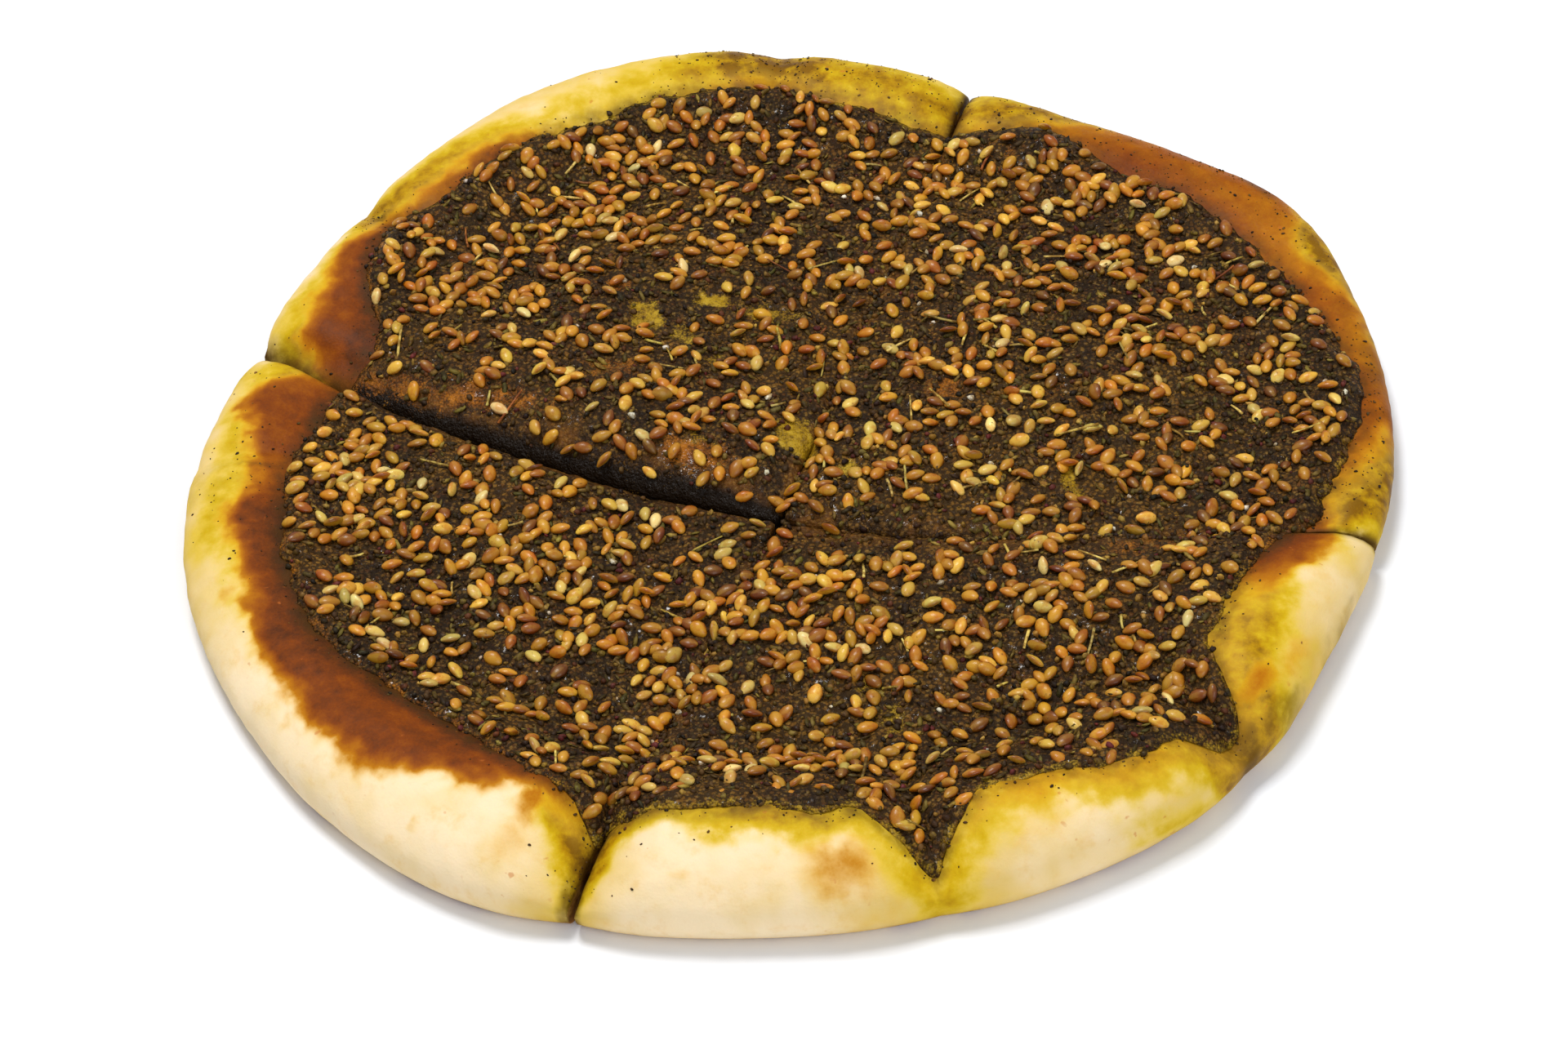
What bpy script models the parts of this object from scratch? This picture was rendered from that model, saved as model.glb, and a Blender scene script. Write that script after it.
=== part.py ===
"""A round flatbread with a thyme and sesame topping, cut into four slices that still lie together.

Each slice is one solid of dough, flat underneath, with its own puffed and creased crust. On each lies
a thin layer of topping, with the largest sesame seeds fused to it.
+X is to the right and +Y to the back. The origin is under the middle, on the surface it lies on.
"""

import math
import random

import bmesh
import bpy
import numpy as np
from mathutils import Matrix, Vector
from mathutils.bvhtree import BVHTree

MM = 0.001  # the sizes below are in millimetres

# The crust, anticlockwise from the left: angle about the middle in degrees, reach of the rim,
# distance in from the rim to the crest, height of the crest, and reach of the topping.
REACH, CREST_IN, CREST_HEIGHT, TOPPING_REACH = 1, 2, 3, 4
CRUST = np.array((
    (-178, 98.6, 9.0, 10.0, 79.5),
    (-165, 100.6, 10.0, 10.5, 83.0),
    (-150, 102.4, 11.0, 11.5, 85.0),
    (-135, 105.4, 13.0, 12.5, 83.0),
    (-120, 107.4, 16.0, 13.5, 84.5),
    (-96, 104.8, 15.0, 14.0, 87.0),
    (-70, 104.6, 10.5, 13.5, 90.0),
    (-60, 104.4, 9.5, 13.0, 93.5),
    (-50, 103.4, 9.5, 13.0, 89.5),
    (-34, 98.6, 10.0, 13.0, 82.0),
    (-17, 98.2, 6.0, 9.0, 87.0),
    (0, 99.0, 6.0, 8.0, 92.5),
    (14, 100.4, 5.0, 7.5, 91.0),
    (29, 103.0, 6.0, 8.5, 89.0),
    (41, 99.0, 7.0, 9.0, 88.0),
    (54, 95.6, 8.0, 9.5, 86.0),
    (67, 96.5, 8.0, 10.0, 79.0),
    (80, 99.8, 9.0, 11.0, 84.0),
    (97, 104.8, 9.0, 11.0, 89.0),
    (113, 104.8, 10.0, 11.0, 88.0),
    (128, 100.2, 9.0, 10.5, 86.5),
    (142, 96.3, 8.0, 9.5, 85.5),
    (156, 94.6, 8.0, 9.0, 75.5),
    (168, 95.2, 8.0, 9.0, 76.0),
))

# Creases across the crust: angle, half width, share of the height lost, pull of the rim inwards,
# and run of the topping outwards. Those on a cut come first.
HALF_WIDTH, SUNK, PULL, RUN = 1, 2, 3, 4
CREASES = (
    (-110.6, 13.0, 0.45, 1.0, 8.0),
    (-20.0, 8.0, 0.12, 0.5, 1.5),
    (67.1, 8.0, 0.25, 1.0, 0.0),
    (160.2, 9.0, 0.30, 1.5, 1.0),
    (-80.3, 12.0, 0.40, 0.6, 12.5),
    (-50.2, 13.0, 0.50, 1.0, 13.5),
    (88.0, 10.0, 0.15, 0.5, 1.5),
    (137.0, 9.0, 0.25, 0.5, 2.0),
    (178.0, 6.0, 0.12, 0.3, 0.0),
)
CREASE_SHARPNESS = 1.6
MOST_SUNK = 0.6

WAIST = 4.5  # height of the rim's outermost line
TUCK = 3.5  # how far the underside starts in from that line
INNER_SLOPE = 20.0  # from the crest down to the level of the middle
THICKNESS = 5.5  # dough in the middle
LEAST_THICKNESS = 1.0

# Puffed places and dents of the dough: x, y, radius, height, and the slice that has it.
PUFFS = (
    (-34, 8, 26, 3.6, "back_left"),
    (-62, 26, 18, 1.5, "back_left"),
    (-12, -8, 14, 2.6, "back_left"),
    (0, -3, 6, 1.2, "back_left"),
    (-14, 46, 22, 1.2, "back_left"),
    (-34, 56, 14, -1.0, "back_left"),
    (46, 18, 34, 1.6, "back_right"),
    (16, -10, 14, 1.6, "back_right"),
    (62, 48, 16, -0.8, "back_right"),
    (-58, -18, 22, 2.0, "front_left"),
    (-30, -44, 14, -1.2, "front_left"),
    (-24, -64, 14, -1.0, "front_left"),
    (50, -40, 20, 3.4, "front_right"),
    (84, -42, 13, 2.6, "front_right"),
    (0, -66, 14, -1.4, "front_right"),
    (30, -66, 14, -1.0, "front_right"),
)

# Two cuts cross a little in front of the middle. Each half runs from there to the rim:
# its angle at the rim, its bow to the left at half length, and the width of its gap.
CROSSING = (-2.2, -20.0)
HALF_CUTS = {
    "right": (-20.0, -4.0, 0.6),
    "top": (67.1, 0.0, 0.6),
    "left": (160.2, 4.6, 1.2),
    "bottom": (-110.6, 0.0, 0.8),
}

# Each slice: for its first and last cut, anticlockwise, the width and the depth of the edge that
# the cutter pressed round, and the number of columns of its net between the edges.
SLICES = {
    "back_right": (("right", 5.0, 1.6), ("top", 3.0, 0.8), 13),
    "back_left": (("top", 3.0, 0.8), ("left", 10.0, 5.4), 14),
    "front_left": (("left", 4.0, 1.2), ("bottom", 4.0, 1.2), 15),
    "front_right": (("bottom", 4.0, 1.2), ("right", 5.0, 1.2), 20),
}
FULLY_PRESSED = 7.0  # where the dough is lower than this, the cutter pressed less
TIP_PRESSED = 0.5  # share of the depth at the crossing, which grows to the whole at this distance
TIP_FADE = 30.0

# The net over a slice. Rows run out from the tip: shares of the way to the topping's edge, then
# shares of the way from there to the rim. The outer columns lie at these distances from each cut.
TOPPING_ROWS = (0.0, 0.08, 0.24, 0.42, 0.60, 0.76, 0.90, 1.0)
CRUST_ROWS = (0.30, 0.55, 0.76, 0.91, 0.98, 1.0)
UNDER_ROWS = (45, 90)  # degrees round the underside of the rim
EDGE_COLUMNS = (0.0, 1.2, 3.6, 7.5)
EDGE_SHARE = 0.35  # of a row's width, the most that the outer columns take on each side

LAYER_GAP = 0.3  # between the dough and the topping on it
TOPPING_THICKNESS = 1.5
TOPPING_EDGE = 0.6

SEED_LENGTH = 3.3
SEED_WIDTH = 2.1
SEED_THICKNESS = 1.2
SEED_POINT = 0.9  # share of its width that a seed loses at its pointed end
SEED_SUNK = 0.4
SEED_SPACING = 10.8  # between the rows and columns that the seeds are strewn from
SEED_SCATTER = 2.8  # how far a seed lies from its place in them
SEED_FROM_CUT = 3.6
SEED_FROM_EDGE = 3.0
SEED_FROM_TIP = 11.0

SHARP_EDGE = math.radians(40)
ROUNDS = 12  # of the search for a place along a direction
MERGE = 0.01 * MM


def around(angle, column):
    """One column of the crust at these angles, on a smooth closed curve through its values."""
    station, value = CRUST[:, 0], CRUST[:, column]
    count = len(station)
    turned = (angle - station[0]) % 360 + station[0]
    first = np.searchsorted(station, turned, side="right") - 1

    def corner(step):
        index = first + step
        return station[index % count] + 360 * (index // count), value[index % count]

    (t0, p0), (t1, p1), (t2, p2), (t3, p3) = (corner(step) for step in (-1, 0, 1, 2))
    s = (turned - t1) / (t2 - t1)
    leave = (p2 - p0) / (t2 - t0) * (t2 - t1)
    arrive = (p3 - p1) / (t3 - t1) * (t2 - t1)
    start = (2 * s**3 - 3 * s**2 + 1) * p1 + (s**3 - 2 * s**2 + s) * leave
    return start + (3 * s**2 - 2 * s**3) * p2 + (s**3 - s**2) * arrive


def creased(angle, column):
    """What the creases add up to at these angles, for one of their columns."""
    total = np.zeros_like(angle)
    for crease in CREASES:
        turn = (angle - crease[0] + 180) % 360 - 180
        aside = np.abs(np.radians(turn)) * around(angle, REACH)
        total += crease[column] * np.clip(1 - aside / crease[HALF_WIDTH], 0, 1) ** CREASE_SHARPNESS
    return total


def rim_reach(angle):
    return around(angle, REACH) - creased(angle, PULL)


def topping_reach(angle):
    wanted = around(angle, TOPPING_REACH) + creased(angle, RUN)
    return np.minimum(wanted, rim_reach(angle) - TUCK)


def crest_height(angle):
    return around(angle, CREST_HEIGHT) * (1 - np.minimum(creased(angle, SUNK), MOST_SUNK))


def distance_from_crossing(direction, reach_at):
    """How far it is from the crossing, in these directions, to where reach_at is met."""
    far = np.full_like(direction, around(np.array(0.0), REACH))
    for _ in range(ROUNDS):
        x = CROSSING[0] + far * np.cos(direction)
        y = CROSSING[1] + far * np.sin(direction)
        far -= np.hypot(x, y) - reach_at(np.degrees(np.arctan2(y, x)))
    return far


def ease(share):
    share = np.clip(share, 0, 1)
    return share * share * (3 - 2 * share)


def pressed(aside, width, depth):
    """How much lower the top is at this distance from a cut, for an edge that was pressed round."""
    share = np.clip(1 - aside / width, 0, 1)
    return depth * (1 - np.sqrt(1 - share**2))


def top_height(x, y, name, from_first, from_last):
    """Height of the dough's top, given the distances from the slice's two cuts."""
    angle = np.degrees(np.arctan2(y, x))
    inwards = np.maximum(rim_reach(angle) - np.hypot(x, y), 0)
    crest_in = around(angle, CREST_IN)
    crest = crest_height(angle)
    level = np.full_like(x, THICKNESS)
    for puff_x, puff_y, radius, height, owner in PUFFS:
        if owner == name:
            level += height * np.exp(-((x - puff_x) ** 2 + (y - puff_y) ** 2) / radius**2)
    inner = crest + (level - crest) * ease((inwards - crest_in) / INNER_SLOPE)
    outer = WAIST + (crest - WAIST) * np.sqrt(1 - np.clip(1 - inwards / crest_in, 0, 1) ** 2)
    height = np.where(inwards < crest_in, outer, inner)
    first, last, _ = SLICES[name]
    lowered = np.maximum(pressed(from_first, *first[1:]), pressed(from_last, *last[1:]))
    far = np.hypot(x - CROSSING[0], y - CROSSING[1])
    lowered *= TIP_PRESSED + (1 - TIP_PRESSED) * ease(far / TIP_FADE)
    return np.maximum(height - lowered * np.clip(height / FULLY_PRESSED, 0, 1), LEAST_THICKNESS)


def rim_point(angle):
    """The rim's place at an angle about the middle, seen from the crossing."""
    reach = float(rim_reach(np.array(angle)))
    turn = math.radians(angle)
    return Vector((reach * math.cos(turn) - CROSSING[0], reach * math.sin(turn) - CROSSING[1]))


def cut_direction(cut, share):
    """Direction from the crossing to the point of a cut that lies this share of the way out."""
    end_angle, bow, _ = HALF_CUTS[cut]
    end = rim_point(end_angle)
    return math.atan2(end.y, end.x) + 4 * bow * (1 - share) / end.length


def row_share(cut, row):
    """Share of the way out along a cut at which a row of the net meets it."""
    turn = np.array(HALF_CUTS[cut][0])
    topping = float(topping_reach(turn) / rim_reach(turn))
    if row < len(TOPPING_ROWS):
        return TOPPING_ROWS[row] * topping
    beyond = min(row - len(TOPPING_ROWS), len(CRUST_ROWS) - 1)
    return topping + CRUST_ROWS[beyond] * (1 - topping)


def row_span(name, row):
    """Directions of a slice's two cuts at a row of its net, clear of the gaps, and the row's width."""
    first_cut, last_cut = SLICES[name][0][0], SLICES[name][1][0]
    first = cut_direction(first_cut, row_share(first_cut, row))
    last = cut_direction(last_cut, row_share(last_cut, row))
    last += 2 * math.pi if last < first else 0
    radius = float(distance_from_crossing(np.array([(first + last) / 2]), topping_reach)[0])
    if row < len(TOPPING_ROWS):
        radius *= TOPPING_ROWS[row]
    if radius == 0:
        middle = (first + last) / 2
        return middle, middle, 0
    first += HALF_CUTS[first_cut][2] / 2 / radius
    last -= HALF_CUTS[last_cut][2] / 2 / radius
    return first, last, radius * (last - first)


def column_shares(name, width):
    """Places of the net's columns across a row this wide, as shares from 0 to 1."""
    squeeze = min(1.0, EDGE_SHARE * width / EDGE_COLUMNS[-1])
    edge = np.array(EDGE_COLUMNS) * squeeze / max(width, MERGE)
    middle = np.linspace(edge[-1], 1 - edge[-1], SLICES[name][2] + 1)
    return np.concatenate([edge[:-1], middle, 1 - edge[-2::-1]])


def crease_columns(name):
    """Which column of a slice's net runs along each crease, and the crease's direction."""
    first, last, width = row_span(name, len(TOPPING_ROWS) - 1)
    shares = column_shares(name, width)
    found = {}
    for crease in CREASES:
        end = rim_point(crease[0])
        direction = first + (math.atan2(end.y, end.x) - first) % (2 * math.pi)
        column = int(np.argmin(np.abs(shares - (direction - first) / (last - first))))
        if len(EDGE_COLUMNS) <= column < len(shares) - len(EDGE_COLUMNS):
            found[column] = direction
    return found


def net_row(name, row, along_creases):
    """Points of one row of the net over a slice: x, y and height of the dough's top or side."""
    first, last, width = row_span(name, row)
    share = column_shares(name, width)
    if width > 0:
        drawn = TOPPING_ROWS[row] ** 2 if row < len(TOPPING_ROWS) else 1
        for column, direction in along_creases.items():
            share[column] += drawn * ((direction - first) / (last - first) - share[column])
    direction = first + share * (last - first)
    edge = distance_from_crossing(direction, topping_reach)
    rim = distance_from_crossing(direction, rim_reach)
    beyond = row - len(TOPPING_ROWS)
    drop = 0
    if row == 0:
        far = np.full_like(share, max(gap for _, _, gap in HALF_CUTS.values()))
    elif beyond < 0:
        far = edge * TOPPING_ROWS[row]
    elif beyond < len(CRUST_ROWS):
        far = edge + (rim - edge) * CRUST_ROWS[beyond]
    else:
        drop = math.radians(UNDER_ROWS[beyond - len(CRUST_ROWS)])
        far = rim - TUCK * (1 - math.cos(drop))
    x = CROSSING[0] + far * np.cos(direction)
    y = CROSSING[1] + far * np.sin(direction)
    if drop:
        height = np.full_like(x, WAIST * (1 - math.sin(drop)))
    else:
        across = far * (last - first)
        height = top_height(x, y, name, share * across, (1 - share) * across)
    return np.stack([x, y, height], axis=1)


def rim_middle():
    """Middle of the box round the rim, which the origin is moved to."""
    turn = np.linspace(-180, 180, 1441)
    reach = rim_reach(turn)
    x = reach * np.cos(np.radians(turn))
    y = reach * np.sin(np.radians(turn))
    return np.array([(x.max() + x.min()) / 2, (y.max() + y.min()) / 2, 0.0])


def make_net(name, rows):
    """A triangulated net over a slice, in a new bmesh, and its vertices by row and column."""
    columns = 2 * (len(EDGE_COLUMNS) - 1) + SLICES[name][2]
    net = bmesh.new()
    bmesh.ops.create_grid(net, x_segments=columns, y_segments=rows - 1, size=0.5)
    bmesh.ops.triangulate(net, faces=net.faces[:], quad_method="FIXED")
    along_creases = crease_columns(name)
    points = [net_row(name, row, along_creases) - rim_middle() for row in range(rows)]
    grid = [[None] * (columns + 1) for _ in range(rows)]
    for vertex in net.verts:
        # Columns run against x, so that the faces keep pointing up.
        column = columns - round((vertex.co.x + 0.5) * columns)
        row = rows - 1 - round((vertex.co.y + 0.5) * (rows - 1))
        grid[row][column] = vertex
    for row, line in enumerate(grid):
        for column, vertex in enumerate(line):
            vertex.co = Vector(points[row][column]) * MM
    return net, grid


def new_vertices(result):
    return [item for item in result["geom"] if isinstance(item, bmesh.types.BMVert)]


def make_object(name, shape, material):
    bmesh.ops.remove_doubles(shape, verts=shape.verts[:], dist=MERGE)
    bmesh.ops.dissolve_degenerate(shape, edges=shape.edges[:], dist=MERGE / 2)
    open_edges = [edge for edge in shape.edges if edge.is_boundary]
    bmesh.ops.holes_fill(shape, edges=open_edges, sides=0)
    bmesh.ops.recalc_face_normals(shape, faces=shape.faces[:])
    mesh = bpy.data.meshes.new(name)
    shape.to_mesh(mesh)
    shape.free()
    mesh.shade_smooth()
    mesh.set_sharp_from_angle(angle=SHARP_EDGE)
    mesh.materials.append(material)
    made = bpy.data.objects.new(name, mesh)
    bpy.context.scene.collection.objects.link(made)
    return made


def make_material(name, colour, roughness):
    material = bpy.data.materials.new(name)
    material.use_nodes = True
    shader = material.node_tree.nodes["Principled BSDF"]
    shader.inputs["Base Color"].default_value = (*colour, 1)
    shader.inputs["Roughness"].default_value = roughness
    shader.inputs["Metallic"].default_value = 0
    material.diffuse_color = (*colour, 1)
    return material


def make_dough(name, material):
    """One slice of dough: the net over its top and rim, walls along its cuts, and a flat underside."""
    net, grid = make_net(name, len(TOPPING_ROWS) + len(CRUST_ROWS) + len(UNDER_ROWS))
    for side in (0, -1):
        line = [row[side] for row in grid]
        tip, end = line[0].co.copy(), line[-1].co.copy()
        edges = [net.edges.get(pair) for pair in zip(line, line[1:])]
        for vertex in new_vertices(bmesh.ops.extrude_edge_only(net, edges=edges)):
            # Under the rim's overhang the wall ends at the underside's edge.
            overhangs = (vertex.co - tip).xy.length >= (end - tip).xy.length
            vertex.co = end if overhangs else Vector((vertex.co.x, vertex.co.y, 0))
    return make_object(f"dough_{name}", net, material)


def make_layer(name, material):
    """The topping of one slice: a thin layer over the same net, thinner towards its edges."""
    net, grid = make_net(name, len(TOPPING_ROWS))
    thickness = {}
    for vertex in net.verts:
        thickness[vertex.co.xy[:]] = TOPPING_EDGE if vertex.is_boundary else TOPPING_THICKNESS
        vertex.co.z += LAYER_GAP * MM
    for vertex in new_vertices(bmesh.ops.extrude_face_region(net, geom=net.faces[:])):
        vertex.co.z += thickness[vertex.co.xy[:]] * MM
    return make_object(f"topping_{name}", net, material)


def make_seed_mesh():
    """A sesame seed: a flat drop, round at one end and pointed at the other."""
    seed = bmesh.new()
    lying = Matrix.Rotation(math.radians(90), 4, "Y")
    bmesh.ops.create_uvsphere(seed, u_segments=6, v_segments=3, radius=0.5, matrix=lying)
    for vertex in seed.verts:
        narrower = 1 - SEED_POINT * max(vertex.co.x, 0)
        vertex.co.y *= narrower
        vertex.co.z *= narrower
    size = Vector((SEED_LENGTH, SEED_WIDTH, SEED_THICKNESS)) * MM
    bmesh.ops.scale(seed, vec=size, verts=seed.verts[:])
    mesh = bpy.data.meshes.new("seed")
    seed.to_mesh(mesh)
    seed.free()
    return mesh


def seed_fits(x, y, name):
    """Whether a seed can lie here, clear of the slice's cuts and of the topping's edge."""
    middle = rim_middle()
    x, y = x + middle[0], y + middle[1]
    angle = math.degrees(math.atan2(y, x))
    if math.hypot(x, y) > float(topping_reach(np.array(angle))) - SEED_FROM_EDGE:
        return False
    spot = Vector((x - CROSSING[0], y - CROSSING[1]))
    if spot.length < SEED_FROM_TIP:
        return False
    direction = math.atan2(spot.y, spot.x)
    rim = float(distance_from_crossing(np.array([direction]), rim_reach)[0])
    first, last = (cut_direction(edge[0], spot.length / rim) for edge in SLICES[name][:2])
    from_first = (direction - first) % (2 * math.pi) * spot.length
    from_last = (last - direction) % (2 * math.pi) * spot.length
    width = (last - first) % (2 * math.pi) * spot.length
    return SEED_FROM_CUT < from_first < width and SEED_FROM_CUT < from_last < width


def strew_seeds(name, layer, seed_mesh, rng):
    """Seeds strewn evenly over the layer, each turned its own way and pressed in a little."""
    surface = BVHTree.FromObject(layer, bpy.context.evaluated_depsgraph_get())
    low, high = Vector(layer.bound_box[0]) / MM, Vector(layer.bound_box[6]) / MM
    heap = bpy.data.collections.new(f"seeds_{name}")
    bpy.context.scene.collection.children.link(heap)
    row_step = SEED_SPACING * math.sqrt(3) / 2
    for row in range(math.ceil((high.y - low.y) / row_step)):
        for column in range(math.ceil((high.x - low.x) / SEED_SPACING)):
            x = low.x + (column + 0.5 * (row % 2)) * SEED_SPACING + rng.uniform(-1, 1) * SEED_SCATTER
            y = low.y + row * row_step + rng.uniform(-1, 1) * SEED_SCATTER
            turn = Matrix.Rotation(rng.uniform(0, 2 * math.pi), 4, "Z")
            if not seed_fits(x, y, name):
                continue
            above = Vector((x, y, high.z + SEED_LENGTH)) * MM
            point, normal, _, _ = surface.ray_cast(above, Vector((0, 0, -1)))
            seed = bpy.data.objects.new(f"seed_{name}_{row}_{column}", seed_mesh)
            lift = (SEED_THICKNESS / 2 - SEED_SUNK) * MM
            lying = normal.to_track_quat("Z", "Y").to_matrix().to_4x4()
            seed.matrix_world = Matrix.Translation(point + normal * lift) @ lying @ turn
            heap.objects.link(seed)
    return heap


def fuse(layer, heap):
    """Joins the seeds to their layer and removes the loose ones."""
    join = layer.modifiers.new("fuse", "BOOLEAN")
    join.operation = "UNION"
    join.operand_type = "COLLECTION"
    join.collection = heap
    join.solver = "EXACT"
    bpy.context.view_layer.update()
    graph = bpy.context.evaluated_depsgraph_get()
    joined = bpy.data.meshes.new_from_object(layer.evaluated_get(graph))
    layer.modifiers.remove(join)
    layer.data = joined
    for seed in list(heap.objects):
        bpy.data.objects.remove(seed)
    bpy.data.collections.remove(heap)


def main():
    for old in list(bpy.data.objects):
        bpy.data.objects.remove(old)
    dough = make_material("baked_dough", (0.83, 0.62, 0.27), 0.6)
    topping = make_material("thyme_and_sesame", (0.085, 0.055, 0.025), 0.45)
    rng = random.Random(7)
    seed_mesh = make_seed_mesh()
    for name in SLICES:
        make_dough(name, dough)
        layer = make_layer(name, topping)
        bpy.context.view_layer.update()
        fuse(layer, strew_seeds(name, layer, seed_mesh, rng))


main()
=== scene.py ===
import math
import random

import bmesh
import bpy
import numpy as np
from mathutils import Matrix, Vector, noise
from mathutils.bvhtree import BVHTree


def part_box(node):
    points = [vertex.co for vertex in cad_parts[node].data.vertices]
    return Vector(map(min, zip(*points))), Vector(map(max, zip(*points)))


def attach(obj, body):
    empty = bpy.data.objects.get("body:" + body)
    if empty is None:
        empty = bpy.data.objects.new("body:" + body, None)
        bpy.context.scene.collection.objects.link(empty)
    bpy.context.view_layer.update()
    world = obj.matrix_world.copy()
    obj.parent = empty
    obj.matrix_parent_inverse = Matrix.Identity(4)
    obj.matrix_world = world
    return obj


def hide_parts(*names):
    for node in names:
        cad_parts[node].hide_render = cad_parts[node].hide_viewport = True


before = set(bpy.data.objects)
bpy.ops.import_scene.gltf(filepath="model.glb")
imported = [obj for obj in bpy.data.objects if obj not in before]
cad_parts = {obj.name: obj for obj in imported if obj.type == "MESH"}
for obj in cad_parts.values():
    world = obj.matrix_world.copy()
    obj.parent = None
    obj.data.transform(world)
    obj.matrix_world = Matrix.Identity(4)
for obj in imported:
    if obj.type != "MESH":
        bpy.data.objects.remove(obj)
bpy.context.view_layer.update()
print("frame loaded")

mm = 0.001  # every size below is in millimetres, every angle in degrees

# The bread's form. Angles run anticlockwise from the right, about the middle of the bread.
# Crust: angle, reach of the rim, distance in to the crest, height of the crest, reach of the paste.
rimColumn, crestInColumn, crestColumn, pasteColumn = 1, 2, 3, 4
crust = np.array((
    (-178, 98.6, 9.0, 10.0, 79.5),
    (-165, 100.6, 10.0, 10.5, 83.0),
    (-150, 102.4, 11.0, 11.5, 85.0),
    (-135, 105.4, 13.0, 12.5, 83.0),
    (-120, 107.4, 16.0, 13.5, 84.5),
    (-96, 104.8, 15.0, 14.0, 87.0),
    (-70, 104.6, 10.5, 13.5, 90.0),
    (-60, 104.4, 9.5, 13.0, 93.5),
    (-50, 103.4, 9.5, 13.0, 89.5),
    (-34, 98.6, 10.0, 13.0, 82.0),
    (-17, 98.2, 6.0, 9.0, 87.0),
    (0, 99.0, 6.0, 8.0, 92.5),
    (14, 100.4, 5.0, 7.5, 91.0),
    (29, 103.0, 6.0, 8.5, 89.0),
    (41, 99.0, 7.0, 9.0, 88.0),
    (54, 95.6, 8.0, 9.5, 86.0),
    (67, 96.5, 8.0, 10.0, 79.0),
    (80, 99.8, 9.0, 11.0, 84.0),
    (97, 104.8, 9.0, 11.0, 89.0),
    (113, 104.8, 10.0, 11.0, 88.0),
    (128, 100.2, 9.0, 10.5, 86.5),
    (142, 96.3, 8.0, 9.5, 85.5),
    (156, 94.6, 8.0, 9.0, 75.5),
    (168, 95.2, 8.0, 9.0, 76.0),
))
# Creases: angle, half width, share of the height lost, pull of the rim inwards, run of the paste outwards.
sunkColumn, pullColumn, runColumn = 2, 3, 4
creases = (
    (-110.6, 13.0, 0.45, 1.0, 8.0),
    (-20.0, 8.0, 0.12, 0.5, 1.5),
    (67.1, 8.0, 0.25, 1.0, 0.0),
    (160.2, 9.0, 0.30, 1.5, 1.0),
    (-80.3, 12.0, 0.40, 0.6, 12.5),
    (-50.2, 13.0, 0.50, 1.0, 13.5),
    (88.0, 10.0, 0.15, 0.5, 1.5),
    (137.0, 9.0, 0.25, 0.5, 2.0),
    (178.0, 6.0, 0.12, 0.3, 0.0),
)
# Puffed places and dents: x, y, radius, height, slice.
puffs = (
    (-34, 8, 26, 3.6, "BackLeft"),
    (-62, 26, 18, 1.5, "BackLeft"),
    (-12, -8, 14, 2.6, "BackLeft"),
    (0, -3, 6, 1.2, "BackLeft"),
    (-14, 46, 22, 1.2, "BackLeft"),
    (-34, 56, 14, -1.0, "BackLeft"),
    (46, 18, 34, 1.6, "BackRight"),
    (16, -10, 14, 1.6, "BackRight"),
    (62, 48, 16, -0.8, "BackRight"),
    (-58, -18, 22, 2.0, "FrontLeft"),
    (-30, -44, 14, -1.2, "FrontLeft"),
    (-24, -64, 14, -1.0, "FrontLeft"),
    (50, -40, 20, 3.4, "FrontRight"),
    (84, -42, 13, 2.6, "FrontRight"),
    (0, -66, 14, -1.4, "FrontRight"),
    (30, -66, 14, -1.0, "FrontRight"),
)
crossing = (-2.2, -20.0)
weld = 0.002  # vertices closer than this are one
lookTop = 14.84  # strewn things are no higher than the solids
halfCuts = {  # angle at the rim, bow to the left at half length, width of the gap
    "right": (-20.0, -4.0, 0.6),
    "top": (67.1, 0.0, 0.6),
    "left": (160.2, 4.6, 1.2),
    "bottom": (-110.6, 0.0, 0.8),
}
slices = {  # node, then each cut with the width and depth of its pressed edge and how far paste runs down it
    "BackRight": ("back_right", ("right", 5.0, 1.6, 2.5), ("top", 3.0, 0.8, 2.5)),
    "BackLeft": ("back_left", ("top", 3.0, 0.8, 2.5), ("left", 10.0, 5.4, 4.0)),
    "FrontLeft": ("front_left", ("left", 4.0, 1.2, 2.0), ("bottom", 4.0, 1.2, 3.0)),
    "FrontRight": ("front_right", ("bottom", 4.0, 1.2, 3.0), ("right", 5.0, 1.2, 2.0)),
}
bread = {
    "waist": 4.5,  # height of the rim's outermost line
    "tuck": 3.5,  # how far the underside starts in from it
    "creaseSharpness": 1.6,
    "mostSunk": 0.6,
    "innerSlope": 20.0,
    "thickness": 5.5,
    "leastThickness": 1.0,
    "fullyPressed": 7.0,
    "tipPressed": 0.5,
    "tipFade": 30.0,
    "tipStart": 0.08,
}


def around(angle, column, table=crust):
    # One column of a table at these angles, on a smooth closed curve.
    station, value = table[:, 0], table[:, column]
    count = len(station)
    turned = (angle - station[0]) % 360 + station[0]
    first = np.searchsorted(station, turned, side="right") - 1

    def corner(step):
        index = first + step
        return station[index % count] + 360 * (index // count), value[index % count]

    (t0, p0), (t1, p1), (t2, p2), (t3, p3) = (corner(step) for step in (-1, 0, 1, 2))
    s = (turned - t1) / (t2 - t1)
    leave = (p2 - p0) / (t2 - t0) * (t2 - t1)
    arrive = (p3 - p1) / (t3 - t1) * (t2 - t1)
    start = (2 * s**3 - 3 * s**2 + 1) * p1 + (s**3 - 2 * s**2 + s) * leave
    return start + (3 * s**2 - 2 * s**3) * p2 + (s**3 - s**2) * arrive


def creased(angle, column):
    # What all creases together do at these angles.
    total = np.zeros_like(angle)
    for crease in creases:
        turn = (angle - crease[0] + 180) % 360 - 180
        aside = np.abs(np.radians(turn)) * around(angle, rimColumn)
        total += crease[column] * np.clip(1 - aside / crease[1], 0, 1) ** bread["creaseSharpness"]
    return total


def rimReach(angle):
    return around(angle, rimColumn) - creased(angle, pullColumn)


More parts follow.
